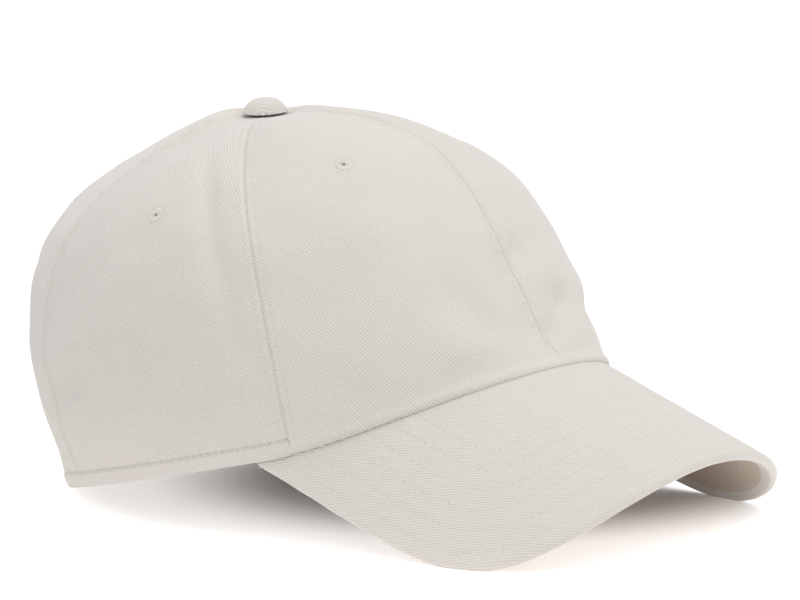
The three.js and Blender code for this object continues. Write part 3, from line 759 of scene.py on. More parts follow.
def board_material(name, colour):
    """Moulded polyethylene: a faint orange-peel skin."""
    shader = Shader(name, Specular_IOR_Level=0.5)
    peel = shader.noise(900.0, 2.0)
    base = shader.tint(peel, shade(colour, 0.95), shade(colour, 1.03))
    return shader.finish(base, shader.remap(peel, 0.3, 0.7, 0.4, 0.55), peel, 0.00006)


def metal_material(name, colour, dark, tarnish, roughness):
    """Brushed plate with tarnish in patches and a scratched, worn sheen."""
    shader = Shader(name, Metallic=1.0)
    stretched = shader.add("ShaderNodeMapping", {"Vector": shader.position(), "Scale": (1.0, 1.0, 14.0)})
    brush = shader.noise(2400.0, 3.0, 0.6, at=stretched.outputs[0])
    patch = shader.noise(120.0, 4.0, 0.6)
    worn = shader.remap(patch, 0.5 - tarnish, 0.62, 0.0, 1.0)
    base = shader.tint(worn, dark, colour)
    gloss = shader.remap(worn, 0.0, 1.0, roughness + 0.25, roughness)
    gloss = shader.math("MULTIPLY_ADD", brush, 0.12, gloss)
    height = shader.math("MULTIPLY_ADD", patch, 0.5, brush)
    return shader.finish(base, gloss, height, 0.00004)


TWILL = twill_material("stone_twill", STONE)
# The bill's underside twill, in the darker, warmer colour painted as shade under the bill.
TWILL_PAINTED_UNDER_SHADE = twill_material("bill_under_twill_painted_shade", STONE_PAINTED_UNDER_SHADE)
BAND_TWILL = twill_material("sweatband_twill", LINING, period=0.7, slope=60.0, depth=0.00015)
TAPE_WEAVE = weave_material("cotton_tape", LINING)
THREAD_SPUN = thread_material("cotton_thread", THREAD)
FELT = felt_material("interlining_felt", (0.80, 0.78, 0.75))
PLASTIC = board_material("bill_board_plastic", (0.80, 0.79, 0.76))
BRASS = metal_material("antique_brass", (0.50, 0.39, 0.22), (0.30, 0.225, 0.125), 0.14, 0.3)
STEEL = metal_material("plated_steel", (0.60, 0.60, 0.60), (0.38, 0.38, 0.38), 0.05, 0.25)

# ---------------------------------------------------------------- stitches

RING_SIDES = 6
RING_AT = np.array([0.0, 0.12, 0.32, 0.68, 0.88, 1.0])
RING_RADIUS = np.array([0.35, 0.8, 1.0, 1.0, 0.8, 0.35])
RING_LIFT = np.array([-1.3, -0.45, 0.25, 0.25, -0.45, -1.3])


def stitch_row(path, normals, pitch=STITCH_PITCH, length=STITCH_LENGTH, radius=STITCH_RADIUS):
    """Thread stitches along a path on the cloth: rings of points, (stitches, rings, sides, 3)."""
    run = run_along(path)
    count = int(run[-1] // pitch)
    centres = (np.arange(count) + 0.5) * pitch + rng.normal(0.0, 0.05, count)
    at = centres[:, None] + (RING_AT - 0.5)[None, :] * length
    middle = read_along(at, run, path)
    up = unit(read_along(at, run, normals))
    ahead = unit(np.gradient(middle, axis=1))
    aside = unit(np.cross(ahead, up))
    swing = rng.normal(0.0, 0.03, count)[:, None] * (RING_AT - 0.5)[None, :]
    middle = middle + up * (RING_LIFT * radius)[None, :, None] + aside * swing[..., None]
    turns = 2.0 * pi * np.arange(RING_SIDES) / RING_SIDES
    offset = (
        aside[:, :, None] * np.cos(turns)[None, None, :, None]
        + up[:, :, None] * np.sin(turns)[None, None, :, None]
    )
    return middle[:, :, None] + offset * (radius * RING_RADIUS)[None, :, None, None]


def stitches(name, rows, body="crown"):
    """One piece holding the stitches of several rows."""
    rings = np.concatenate(rows)
    one_points, one_faces = tube(rings[0])
    shift = np.arange(len(rings))[:, None, None] * len(one_points)
    faces = [(group[None] + shift).reshape(-1, group.shape[1]) for group in one_faces]
    mesh = new_mesh(name, rings.reshape(-1, 3), faces)
    return piece(mesh, THREAD_SPUN, body)


# ---------------------------------------------------------------- crown panels

PANELS = {
    "front_panel": (SEAMS["front"], side_seam),
    "side_panel": (side_seam, SEAMS["left_rear"]),
    "back_panel": (SEAMS["left_rear"], SEAMS["back"]),
}
SIDES = (("right", -1), ("left", 1))
CLOTH_STEP = 1.15
HEM_WIDEST = 95.0
MERIDIAN_LONGEST = 150.0
NEAR_SEAM = np.array([0.0, 0.15, 0.35, 0.6, 0.95, 1.4, 1.9, 2.25, 2.6, 3.0, 3.6, 4.4, 5.4, 6.5])
NEAR_HEM = np.array([0.0, 0.04, 0.14, 0.3, 0.5, 0.9, 1.4, 2.0, 2.6, 3.1, 3.5, 3.9, 4.3, 4.65, 5.0])
NEAR_HEM = np.concatenate([NEAR_HEM, [5.35, 5.7, 6.2, 6.9, 7.8, 8.8]])


def inside_arch(x, z, grow=0.0):
    """Whether a rear point (x, z) lies in the rear opening."""
    radius = ARCH_HALF_WIDTH + grow
    return (np.abs(x) < radius) & ((z < ARCH_LEG) | (np.hypot(x, z - ARCH_LEG) < radius))


def panel_grid(start, end):
    """Angles and meridian shares over one panel, closer together beside its seams and its hem."""
    beside = len(NEAR_SEAM)
    between = ceil(np.max((end(1.0) - start(1.0)) * HEM_WIDEST) / CLOTH_STEP) - 2 * beside
    spread = np.linspace(0.0, 1.0, between + 2)[1:-1]
    spread = np.concatenate([np.zeros(beside), spread, np.ones(beside)])
    columns = len(spread)
    top_share = np.linspace(0.0, 1.0, int(MERIDIAN_LONGEST / CLOTH_STEP) + 1)[1:]
    foot_angle = lerp(float(start(1.0)), float(end(1.0)), spread)
    total = height_on_cloth(foot_angle, np.full(columns, APEX_HOLE))
    heights = np.concatenate(
        [
            np.broadcast_to(NEAR_HEM, (columns, len(NEAR_HEM))),
            lerp(NEAR_HEM[-1], total[:, None], top_share[None, :]),
        ],
        axis=1,
    )
    down = down_at_height(np.broadcast_to(foot_angle[:, None], heights.shape), heights)
    down = np.clip(down, APEX_HOLE, 1.0)
    down[:, 0] = 1.0
    down = down[:, ::-1]
    low, high = start(down), end(down)
    middle = (low + high) / 2.0
    width = (high - low) * crown_across(middle, down)
    squeeze = np.minimum(1.0, width / (3.2 * NEAR_SEAM[-1]))
    low_edge = NEAR_SEAM[-1] * squeeze / crown_across(low, down)
    high_edge = NEAR_SEAM[-1] * squeeze / crown_across(high, down)
    angle = lerp(low + low_edge, high - high_edge, spread[:, None])
    for k, step in enumerate(NEAR_SEAM):
        angle[k] = (low + step * squeeze / crown_across(low, down))[k]
        angle[-1 - k] = (high - step * squeeze / crown_across(high, down))[-1 - k]
    return angle, down


def weave_flat(angle, down, middle):
    """Across and along the cloth in millimetres, from the panel's middle line and the hem."""
    across = (angle - middle) * crown_across((angle + middle) / 2.0, down)
    return np.stack([across, height_on_cloth(angle, down)], axis=-1)


def crown_panel(panel, side, sign):
    """One of the six panels, with its seams, hem, eyelet hole and its part of the rear opening."""
    start, end = PANELS[panel]
    angle, down = panel_grid(start, end)
    if sign < 0:
        angle, down = -angle[::-1], down[::-1]
    middle = sign * (start(down) + end(down)) / 2.0
    cloth = weave_flat(angle, down, middle)
    keep = np.ones((angle.shape[0] - 1, angle.shape[1] - 1), bool)
    if panel == "back_panel":
        angle, down, keep = open_arch(angle, down, sign)
    sewn = sewing_lines(angle, down)
    outer, inner = panel_face(angle, down), panel_inside(angle, down)
    degrees, share = next((a, d) for name, a, d in EYELETS if name == panel)
    keep &= open_eyelet(outer, inner, radians(sign * degrees), share)
    return skin(f"{panel}_{side}", outer, inner, cloth, TWILL, "twill", sewn, keep)


def sewing_lines(angle, down):
    """How much painted shade each point gets beside a seam and along the hem's stitch line, and its
    place along the hem.
    """
    height = height_on_cloth(angle, down)
    distance, _ = seam_distances(angle, down)
    # Weights of painted shade in the seams' grooves and along the hem's stitch line.
    seam_groove_shade = 0.15 * bell(distance, 0.45) * smoothstep(height, 2.0, HEM_STITCH)
    hem_groove_shade = bell(height - HEM_STITCH - 0.35, 0.42) * behind_side_seam(angle)
    return np.stack([seam_groove_shade, hem_groove_shade, hem_run(angle)], axis=-1)


HEM_START = float(side_seam(1.0)) + 0.01
HEM_TURNS = np.linspace(HEM_START, pi, 1500)
HEM_DOWNS = down_at_height(HEM_TURNS, np.full_like(HEM_TURNS, HEM_STITCH))
HEM_RUNS = run_along(crown_surface(HEM_TURNS, HEM_DOWNS))


def hem_run(angle):
    """Distance along the hem's stitch line from the side seam."""
    return np.interp(np.abs(wrapped(angle)), HEM_TURNS, HEM_RUNS)


def cell_means(values):
    """The mean of each cell's four corners."""
    return (values[:-1, :-1] + values[1:, :-1] + values[:-1, 1:] + values[1:, 1:]) / 4.0


def border_of(keep):
    """Points that touch both a kept and a dropped cell."""
    kept = np.zeros((keep.shape[0] + 1, keep.shape[1] + 1), bool)
    dropped = kept.copy()
    for i in (0, 1):
        for j in (0, 1):
            kept[i : kept.shape[0] - 1 + i, j : kept.shape[1] - 1 + j] |= keep
            dropped[i : kept.shape[0] - 1 + i, j : kept.shape[1] - 1 + j] |= ~keep
    return kept & dropped


def open_arch(angle, down, sign):
    """Drops the cells in the rear opening and moves the border points on to its outline."""
    point = crown_surface(angle, down)
    keep = ~inside_arch(cell_means(point[..., 0]), cell_means(point[..., 2]))
    border = border_of(keep)
    x, z = point[..., 0][border], point[..., 2][border]
    over_leg = z < ARCH_LEG
    radius = np.hypot(x, z - ARCH_LEG)
    new_x = np.where(over_leg, np.sign(x) * ARCH_HALF_WIDTH, x * ARCH_HALF_WIDTH / radius)
    new_z = np.where(over_leg, z, ARCH_LEG + (z - ARCH_LEG) * ARCH_HALF_WIDTH / radius)
    new_angle, new_down = crown_behind(new_x, new_z)
    angle, down = angle.copy(), down.copy()
    angle[border] = np.where(sign < 0, new_angle - 2.0 * pi, new_angle)
    down[border] = np.minimum(new_down, 1.0)
    return angle, down, keep


def open_eyelet(outer, inner, turn, share):
    """Cells outside the eyelet's hole, after the hole's border is drawn on to a circle."""
    centre = crown_surface(turn, share)
    axis = crown_normal(turn, share)
    offset = outer - centre
    flat = offset - (offset @ axis)[..., None] * axis
    radius = np.linalg.norm(flat, axis=-1)
    keep = cell_means(radius) > EYELET_HOLE
    border = border_of(keep)
    pull = flat[border] * (EYELET_HOLE / radius[border] - 1.0)[:, None]
    outer[border] += pull
    inner[border] += pull
    return keep


for side, sign in SIDES:
    for panel in PANELS:
        crown_panel(panel, side, sign)

# ---------------------------------------------------------------- eyelets


EYELET_STRANDS = 46
EYELET_MIDDLE = 1.68
EYELET_HALF_WIDTH = 1.2
EYELET_HALF_HEIGHT = 0.78


def rounded_square(wave):
    """A sine or cosine flattened so that a ring's section is fuller than a circle."""
    return np.sign(wave) * np.abs(wave) ** 0.75


def eyelet(panel, degrees, share, side, sign):
    """A ring of satin stitches over both faces of the cloth."""
    across, around = 18, EYELET_STRANDS * 6
    turn = radians(sign * degrees)
    axis = crown_normal(turn, share)
    centre = crown_layer(turn, share, PANEL / 2.0 + 0.15)
    first = unit(np.cross(axis, CAP_LEFT if sign * degrees < 60 else np.array([0.0, 0.0, 1.0])))
    second = np.cross(axis, first)
    theta = 2.0 * pi * np.arange(around)[:, None] / around
    phi = 2.0 * pi * np.arange(across)[None, :] / across
    uneven = np.repeat(rng.normal(0.0, 0.09, EYELET_STRANDS), 6)[:, None]
    ridge = 0.1 * np.abs(np.cos(EYELET_STRANDS * theta / 2.0 + 0.35 * np.sin(phi)))
    half_width = EYELET_HALF_WIDTH + ridge + uneven * (np.cos(phi) > 0)
    radius = EYELET_MIDDLE + half_width * rounded_square(np.cos(phi))
    level = (EYELET_HALF_HEIGHT + ridge) * rounded_square(np.sin(phi))
    flat = first * np.cos(theta)[..., None] + second * np.sin(theta)[..., None]
    points = centre + flat * radius[..., None] + axis * level[..., None]
    index = np.arange(around * across).reshape(around, across)
    faces = quads(np.pad(index, (0, 1), mode="wrap"))
    name = f"{panel}_eyelet_{side}"
    mesh = new_mesh(f"{name}_thread", points.reshape(-1, 3), [faces[:, ::-1]])
    return piece(mesh, THREAD_SPUN, replaces=[name])


for side, sign in SIDES:
    for panel, degrees, share in EYELETS:
        eyelet(panel, degrees, share, side, sign)

# ---------------------------------------------------------------- seam tapes and the opening's edge

TAPE_TURNS = np.linspace(-0.5, 0.5, 9)
ARCH_TOP = ARCH_LEG + ARCH_HALF_WIDTH


def seam_tape(seam, bottom):
    """A folded cotton tape over the inside of one seam, raised in the middle by the seam under it."""
    down = np.linspace(TAPE_TOP, bottom, 110)
    seam_angle = SEAMS[seam](down)
    width = TAPE_TURNS[:, None] * TAPE_WIDTH
    angle = seam_angle[None, :] + width / crown_across(seam_angle, down)[None, :]
    down = np.broadcast_to(down, angle.shape)
    height = height_on_cloth(angle, down)
    edge = 0.16 * smoothstep(np.abs(width), TAPE_WIDTH / 2.0 - 1.2, TAPE_WIDTH / 2.0)
    ripple = 0.08 * np.sin(height * 2.0 * pi / 6.3 + len(seam))
    top = crown_layer(angle, down, PANEL + 0.12)
    face = crown_layer(angle, down, PANEL + TAPE + LAYER_GAP - edge + ripple)
    flat = np.stack([np.broadcast_to(width, angle.shape), height], axis=-1)
    return skin(f"{seam}_seam_tape", top, face, flat, TAPE_WEAVE, "lining")


def seam_foot(clearance):
    """Where the back seam ends, this far above the rear opening."""
    return float(crown_behind(np.zeros(1), np.full(1, ARCH_TOP + clearance))[1][0])


def arch_path(radius, count):
    """Points (x, z) up one leg of the rear opening, over its arch and down the other leg."""
    leg = np.linspace(0.25, ARCH_LEG, 6)[:-1]
    turn = np.linspace(0.0, pi, count)
    side = np.full_like(leg, radius)
    x = np.concatenate([side, radius * np.cos(turn), -side])
    z = np.concatenate([leg, ARCH_LEG + radius * np.sin(turn), leg[::-1]])
    return x, z


# The binding's section: distance out from the opening's edge, and depth inside the panel's face
BINDING_SECTION = [
    (1.9, -0.12), (1.2, -0.5), (0.2, -0.62), (-0.5, -0.35), (-0.9, 0.25), (-0.95, 0.9), (-0.6, 1.5),
    (0.2, 1.85), (2.0, 2.0), (4.5, 2.05), (BINDING_WIDTH - 0.4, 2.05), (BINDING_WIDTH, 1.8),
    (BINDING_WIDTH - 0.3, 1.35), (4.5, 1.2), (1.4, 1.15), (0.1, 0.9), (0.1, 0.1),
]


def opening_binding():
    """Cotton binding turned over the cut edge of the rear opening."""
    rings, flats = [], []
    for out, depth in BINDING_SECTION:
        x, z = arch_path(ARCH_HALF_WIDTH + out, 150)
        angle, down = crown_behind(x, z)
        relief = panel_relief(angle, np.minimum(down, 0.97)) * (depth < 0.0)
        rings.append(crown_layer(angle, down, depth - relief * 0.6))
        flats.append(np.stack([np.full(len(x), out + depth), run_along(rings[-1])], axis=-1))
    points, faces = tube(np.stack(rings, axis=1))
    flat = np.stack(flats, axis=1).reshape(-1, 2)
    mesh = new_mesh("rear_opening_binding_cloth", points, faces, flat)
    return piece(mesh, TWILL, replaces=["rear_opening_binding"])


for seam in SEAMS:
    bottom = TAPE_BOTTOM
    if seam == "back":
        bottom = seam_foot(BINDING_WIDTH + 1.0)
    seam_tape(seam, bottom)
opening_binding()

# ---------------------------------------------------------------- crown stitching


def crown_row(angle, down, radius=STITCH_RADIUS):
    """A row of stitches lying on the outside of the panels."""
    return stitch_row(panel_face(angle, down), crown_normal(angle, down), radius=radius)


def seam_rows():
    """A row of stitches on each side of every seam."""
    rows = []
    for name, seam in SEAMS.items():
        bottom = 1.0
        if name == "back":
            bottom = seam_foot(2.0)
        down = np.linspace(0.1, bottom, 500)
        for offset in (-SEAM_STITCH, SEAM_STITCH):
            point = crown_surface(seam(down), down)
            angle = seam(down) + offset * seam_narrowing(point) / crown_across(seam(down), down)
            visible = height_on_cloth(angle, down) > HEM_STITCH
            if name == "back":
                visible[:] = True
            rows.append(crown_row(angle[visible], down[visible], 0.17))
    return rows


def hem_rows():
    """The hem's stitch line, from each side seam round to the rear opening."""
    end = pi - np.arcsin((ARCH_HALF_WIDTH + 5.0) / HEM_SIDE)
    rows = []
    for sign in (-1, 1):
        angle = sign * np.linspace(HEM_START, end, 400)
        rows.append(crown_row(angle, down_at_height(angle, np.full_like(angle, HEM_STITCH)), 0.24))
    return rows


def opening_row(out):
    """A row of stitches this far outside the rear opening's edge."""
    x, z = arch_path(ARCH_HALF_WIDTH + out, 300)
    return crown_row(*crown_behind(x, z))


BARTACK_PITCH = 0.45


def bartack(degrees, height, tall, width):
    """A short upright bar of close stitches, where an end of the strap is caught into the hem."""
    count = int(tall / BARTACK_PITCH)
    level = np.repeat(height + np.arange(count) * BARTACK_PITCH, 2)
    level[1::2] += 0.2
    angle = radians(degrees) + np.tile([-width / 2.0, width / 2.0], count) / HEM_SIDE
    rows = []
    for k in range(0, 2 * count, 2):
        turn = np.linspace(angle[k], angle[k + 1], 6)
        down = down_at_height(turn, np.linspace(level[k], level[k + 1], 6))
        normal = crown_normal(turn, down)
        lifted = panel_face(turn, down) + normal * 0.1
        rows.append(stitch_row(lifted, normal, width * 0.98, width * 0.95, STITCH_RADIUS))
    return rows


stitches("crown_seam_stitching", seam_rows())
stitches("hem_stitching", hem_rows())
stitches("opening_stitching", [opening_row(3.4)])
stitches("hem_bartacks", [row for degrees in (-144.0, 144.0) for row in bartack(degrees, 1.0, 5.0, 1.7)])

# ---------------------------------------------------------------- top button


BUTTON_RADIUS = 7.7
BUTTON_DOME = 4.6


def top_button():
    """A dome of cloth gathered in small pleats under its rim."""
    around, pleats = 240, 20
    turns = np.linspace(0.0, pi / 2.0, 22)[1:]
    dome = [(BUTTON_RADIUS * sin(t), 0.8 + BUTTON_DOME * (1.0 - sin(t) ** 3.2)) for t in turns]
    under = [(7.62, 0.7), (7.1, 0.45), (6.3, 0.3), (5.6, 0.28), (5.6, 0.7), (6.4, 1.0)]
    inside = [(6.6 * cos(t), 1.3 + 3.1 * sin(t)) for t in np.linspace(0.0, pi / 2.0, 10)[:-1]]
    profile = np.array([(0.02, 5.4), *dome, *under, *inside, (0.02, 4.4)])
    theta = 2.0 * pi * np.arange(around) / around
    gather = np.sin(pleats * theta + 0.8 * np.sin(theta * 3.0 + 1.0)) * (1.0 + 0.5 * np.sin(theta * 5.0))
    near_rim = bell(profile[:, 1] - 0.7, 0.8) * (profile[:, 0] > 5.9)
    radius = profile[:, 0][:, None] + 0.09 * near_rim[:, None] * gather[None, :]
    level = profile[:, 1][:, None] - 0.05 * near_rim[:, None] * gather[None, :]
    x, y = radius * np.sin(theta), radius * np.cos(theta)
    ahead = np.array([0.0, cos(BUTTON_LEAN), sin(BUTTON_LEAN)])
    aside = np.array([cos(BUTTON_TILT), 0.0, sin(BUTTON_TILT)])
    above = unit(np.cross(aside, ahead))
    apex = np.array([0.0, APEX_BACK, CROWN_HEIGHT + TOP_RISE + BUTTON_LIFT])
    points = apex + x[..., None] * aside + y[..., None] * ahead + level[..., None] * above
    flat = np.stack([x, y], axis=-1).reshape(-1, 2)
    body, faces = tube(points)
    mesh = new_mesh("button_cover_cloth", body, [group[:, ::-1] for group in faces], flat)
    return piece(mesh, TWILL, replaces=["button_cover"])


top_button()

# ---------------------------------------------------------------- bill


def bill_place(q, forward, lift):
    """A point of the bill: q along the bend, forward along its slope, lift square to its surface."""
    bend = q / BILL_RADIUS
    radius = BILL_RADIUS + lift - BILL_SINK
    drop = BILL_RADIUS - radius * np.cos(bend)
    return np.stack(
        [
            radius * np.sin(bend),
            -HEM_FRONT - forward * cos(BILL_SLOPE) + drop * sin(BILL_SLOPE),
            FRONT_RISE - forward * sin(BILL_SLOPE) - drop * cos(BILL_SLOPE),
        ],
        axis=-1,
    )


CURVE_SAMPLES = 4000
DISTANCE_BLOCK = 4000


def even_curve(points, count):
    """The same curve with its points evenly apart."""
    run = run_along(points)
    return read_along(np.linspace(0.0, run[-1], count), run, points)


def bill_outline(count):
    """The flat pattern's outer edge from the wearer's right to the left, evenly spaced."""
    turn = (pi / 2.0) * (1.0 - (1.0 - np.linspace(0.0, 1.0, CURVE_SAMPLES)) ** 3)
    q = BILL_HALF_ARC * np.sin(turn) ** BILL_SIDE_POWER
    reach = np.maximum(np.cos(turn), 0.0) ** BILL_FRONT_POWER
    half = np.stack([q, lerp(CORNER_FORWARD, BILL_LENGTH, reach)], axis=-1)
    whole = np.concatenate([half[::-1] * [-1.0, 1.0], half[1:]])
    return even_curve(whole, count)


def bill_hem_edge(count):
    """The flat pattern's inner edge, where the bill is sewn into the hem."""
    q = np.linspace(-BILL_HALF_ARC, BILL_HALF_ARC, CURVE_SAMPLES)
    return even_curve(np.stack([q, hem_on_bend(q)[2]], axis=-1), count)


BILL_COLUMNS = 331
BILL_TOP_ROWS = 86
BILL_UNDER_ROWS = 60
BILL_END = 0.003
BILL_GRAIN = radians(-4.0)
BILL_ROW_STEP = 7.0
BILL_ROWS = [5.5 + BILL_ROW_STEP * k for k in range(6)]

BILL_EDGE = bill_outline(6001)
BILL_TANGENT = unit(np.gradient(BILL_EDGE, axis=0))
BILL_OUTWARD = np.stack([-BILL_TANGENT[:, 1], BILL_TANGENT[:, 0]], axis=-1)
BILL_HEM = bill_hem_edge(len(BILL_EDGE))


def on_bill(table, share):
    """Values listed along the bill's outer edge, read at shares of its length."""
    return read_along(share, np.linspace(0.0, 1.0, len(table)), table)


def edge_distance(pattern):
    """Distance inside the flat pattern's outer edge."""
    near = BILL_EDGE[::12]
    flat = pattern.reshape(-1, 2)
    reach = np.empty(len(flat))
    for k in range(0, len(flat), DISTANCE_BLOCK):
        block = flat[k : k + DISTANCE_BLOCK]
        squares = ((block[:, None] - near[None]) ** 2).sum(axis=2)
        reach[k : k + DISTANCE_BLOCK] = np.sqrt(squares.min(axis=1))
    return reach.reshape(pattern.shape[:-1])


def bill_relief(pattern):
    """Stitch lines pressed into the bill's cloth, with a little unevenness between them."""
    inside = edge_distance(pattern)
    lines = sum(bell(inside - row, 0.8) for row in BILL_ROWS)
    q, forward = pattern[..., 0], pattern[..., 1]
    ripple = np.sin(q / 5.1 + 1.4 * np.sin(forward / 7.0)) * np.sin(forward / 4.3 + q / 23.0)
    return -0.04 * lines + 0.05 * ripple * smoothstep(inside, 2.0, 6.0)


def bill_share():
    """The bill's columns as shares of its outer edge, stopping just short of its points."""
    return np.linspace(BILL_END, 1.0 - BILL_END, BILL_COLUMNS)


def bill_rim():
    """Half the bill's thickness, thinner where the bill runs out to a point under the hem."""
    share = bill_share()
    width = np.linalg.norm(on_bill(BILL_EDGE, share) - on_bill(BILL_HEM, share), axis=1)
    return np.minimum(BILL_THICKNESS / 2.0, 0.25 + 0.35 * width)


def bill_pattern(inset, rows, start=-1.2):
    """Flat pattern points between the hem and a line inset from the outer edge, (columns, rows)."""
    share = bill_share()
    rim = on_bill(BILL_EDGE, share) - on_bill(BILL_OUTWARD, share) * np.asarray(inset)[..., None]
    hem = on_bill(BILL_HEM, share)
    hem = hem + unit(rim - hem) * start
    return lerp(hem[:, None], rim[:, None], np.linspace(0.0, 1.0, rows)[None, :, None])


def bill_top_cover():
    """The top cloth: over the bill, round its edge and a little way back underneath."""
    rim = bill_rim()
    cloth = BILL_CLOTH * rim / rim.max()
    share = bill_share()
    pattern = bill_pattern(rim, BILL_TOP_ROWS)
    flats = list(pattern.swapaxes(0, 1))
    lifts = bill_relief(pattern).T
    outer = [bill_place(*flat.T, lift) for flat, lift in zip(flats, lifts)]
    inner = [bill_place(*flat.T, -cloth) for flat in flats]
    edge, outward = on_bill(BILL_EDGE, share), on_bill(BILL_OUTWARD, share)
    width = np.linalg.norm(edge - on_bill(BILL_HEM, share), axis=1)
    room = np.clip(width - 2.0 * rim, 0.3, BILL_WRAP)
    round_edge, back_under = np.linspace(0.0, pi, 19)[1:], np.linspace(0.25, 1.0, 4)
    steps = np.concatenate([round_edge, np.full_like(back_under, pi)])
    backs = np.concatenate([np.zeros_like(round_edge), back_under])
    along = run_along(edge)
    slack = 0.06 * np.sin(along / 2.2) + 0.05 * np.sin(along / 4.9 + 1.0)
    for turn, back in zip(steps, backs):
        for target, half in ((outer, rim + slack * sin(turn) ** 2), (inner, rim - cloth)):
            inset = rim - half * sin(turn) + back * room
            flat = edge - outward * np.asarray(inset)[:, None]
            target.append(bill_place(*flat.T, half * cos(turn) - rim))
        flats.append(edge + outward * (rim * (turn - 1.0) + back * BILL_WRAP)[:, None])
    outer, inner, flats = (np.stack(rows, axis=1) for rows in (outer, inner, flats))
    return skin("bill_top_cover", outer, inner, bill_weave(flats), TWILL, "twill")


def bill_weave(pattern):
    """Across and along the cloth; the bill is cut a little off its straight grain."""
    q, back = pattern[..., 0], -pattern[..., 1]
    across = q * cos(BILL_GRAIN) - back * sin(BILL_GRAIN)
    along = q * sin(BILL_GRAIN) + back * cos(BILL_GRAIN)
    return np.stack([across, along], axis=-1)


def bill_under_cover():
    """The cloth under the bill, with the stitch lines pressed up into it; its darker, warmer colour is
    painted shade and bounce light.
    """
    pattern = bill_pattern(bill_rim() + BILL_WRAP - 0.4, BILL_UNDER_ROWS)
    q, forward = pattern[..., 0], pattern[..., 1]
    outer = bill_place(q, forward, np.full(q.shape, BILL_CLOTH - BILL_THICKNESS))
    inner = bill_place(q, forward, -BILL_THICKNESS - bill_relief(pattern))
    return skin("bill_under_cover", outer, inner, bill_weave(pattern), TWILL_PAINTED_UNDER_SHADE, "twill")


def bill_stitch_rows(side):
    """Rows parallel to the bill's outer edge, on its top (side 1) or its underside (side -1)."""
    rows = []
    for inset in BILL_ROWS:
        flat = BILL_EDGE - BILL_OUTWARD * inset
        _, _, hem = hem_on_bend(np.clip(flat[:, 0], -BILL_HALF_ARC, BILL_HALF_ARC))
        clear = flat[:, 1] > hem + 3.0
        clear &= np.abs(edge_distance(flat) - inset) < 0.25
        flat = flat[clear]
        lift = bill_relief(flat) if side > 0 else -BILL_THICKNESS - bill_relief(flat)
        path = bill_place(*flat.T, lift)
        above = bill_place(*flat.T, lift + side)
        rows.append(stitch_row(path, above - path, pitch=2.5, length=1.95, radius=0.13))
    return rows


bill_top_cover()
bill_under_cover()
stitches("bill_stitching", bill_stitch_rows(1))
stitches("bill_under_stitching", bill_stitch_rows(-1))

# ---------------------------------------------------------------- sweatband

BAND_END = pi - np.arcsin((ARCH_HALF_WIDTH + 1.0) / HEM_SIDE)
BAND_COLUMNS = 420
BAND_RADIUS = 92.0
BAND_LOW_ROW = 4.0
BAND_TOP_ROW = BAND_HEIGHT - 2.6
BAND_LEVELS = np.concatenate(
    [
        [0.15, 0.4, 0.9, 1.5, 2.2, 3.0, 3.6, 4.0, 4.4, 5.2, 7.0, 9.0, 11.0, 13.0],
        np.linspace(15.0, BAND_HEIGHT - 2.0, 12),
        BAND_HEIGHT - np.array([1.5, 1.0, 0.5, 0.2, 0.0]),
    ]
)


def band_depth(angle):
    """Depth of the sweatband's backing; behind, it leaves room for the strap's pocket."""
    pocket = POCKET_DEPTH * smoothstep(np.abs(angle), radians(100.0), radians(128.0))
    return BAND_DEPTH + pocket


def band_place(angle, height, depth):
    """A point at a height on the cloth above the hem, this deep inside the panels' outer face."""
    return crown_layer(angle, down_at_height(angle, height), depth)


def band_ripple(angle):
    """The band's uneven waves round the head, from -1 to 1."""
    return np.sin(angle * 17.0 + 1.1 * np.sin(angle * 5.0))


def band_grid(levels):
    """Angles and heights of a grid over the sweatband."""
    angle = np.linspace(-BAND_END, BAND_END, BAND_COLUMNS)[:, None]
    return np.broadcast_arrays(angle, levels[None, :])


def band_face_depth(angle, height):
    """Depth of the sweatband's inner face: it is caught in at the hem and folded over at its top."""
    full = band_depth(angle) + BAND_BACKING + LAYER_GAP + BAND_FACE
    caught = lerp(PANEL + 0.7, full, smoothstep(height, 0.0, 3.4))
    top_turn = quarter_round((height - BAND_HEIGHT + 0.6) / 0.6)
    ripple = 0.22 * band_ripple(angle) * smoothstep(height, 4.0, 20.0)
    stitched = 0.3 * bell(height - BAND_LOW_ROW, 0.6) + 0.2 * bell(height - BAND_TOP_ROW, 0.5)
    return caught + ripple - stitched - 0.45 * (1.0 - top_turn)


def sweatband():
    """The band against the wearer's head, held round its curve by its stitches."""
    angle, height = band_grid(BAND_LEVELS[::-1])
    face = band_face_depth(angle, height)
    back = np.maximum(face - BAND_FACE, PANEL + 0.05)
    outer = band_place(angle, height, back)
    inner = band_place(angle, height, face)
    flat = np.stack([angle * BAND_RADIUS, height], axis=-1)
    band = skin("sweatband", outer, inner, flat, BAND_TWILL, "sweatband")


def sweatband_backing():
    """The felt between the sweatband and the panels."""
    angle, height = band_grid(np.linspace(BAND_HEIGHT - 0.8, 4.5, 14))
    ripple = 0.15 * band_ripple(angle)
    outer = band_place(angle, height, band_depth(angle) + ripple)
    inner = band_place(angle, height, band_depth(angle) + BAND_BACKING + ripple)
    flat = np.stack([angle * BAND_RADIUS, height], axis=-1)
    skin("sweatband_backing", outer, inner, flat, FELT, "interlining")


def band_rows():
    """The sweatband's two stitch lines."""
    rows = []
    for level in (BAND_LOW_ROW, BAND_TOP_ROW):
        angle = np.linspace(-BAND_END + 0.02, BAND_END - 0.02, 900)
        height = np.full_like(angle, level)
        path = band_place(angle, height, band_face_depth(angle, height))
        inward = -crown_normal(angle, down_at_height(angle, height))
        rows.append(stitch_row(path, inward))
    return rows


sweatband()
sweatband_backing()
stitches("sweatband_stitching", band_rows())

# ---------------------------------------------------------------- strap, tab and clasp


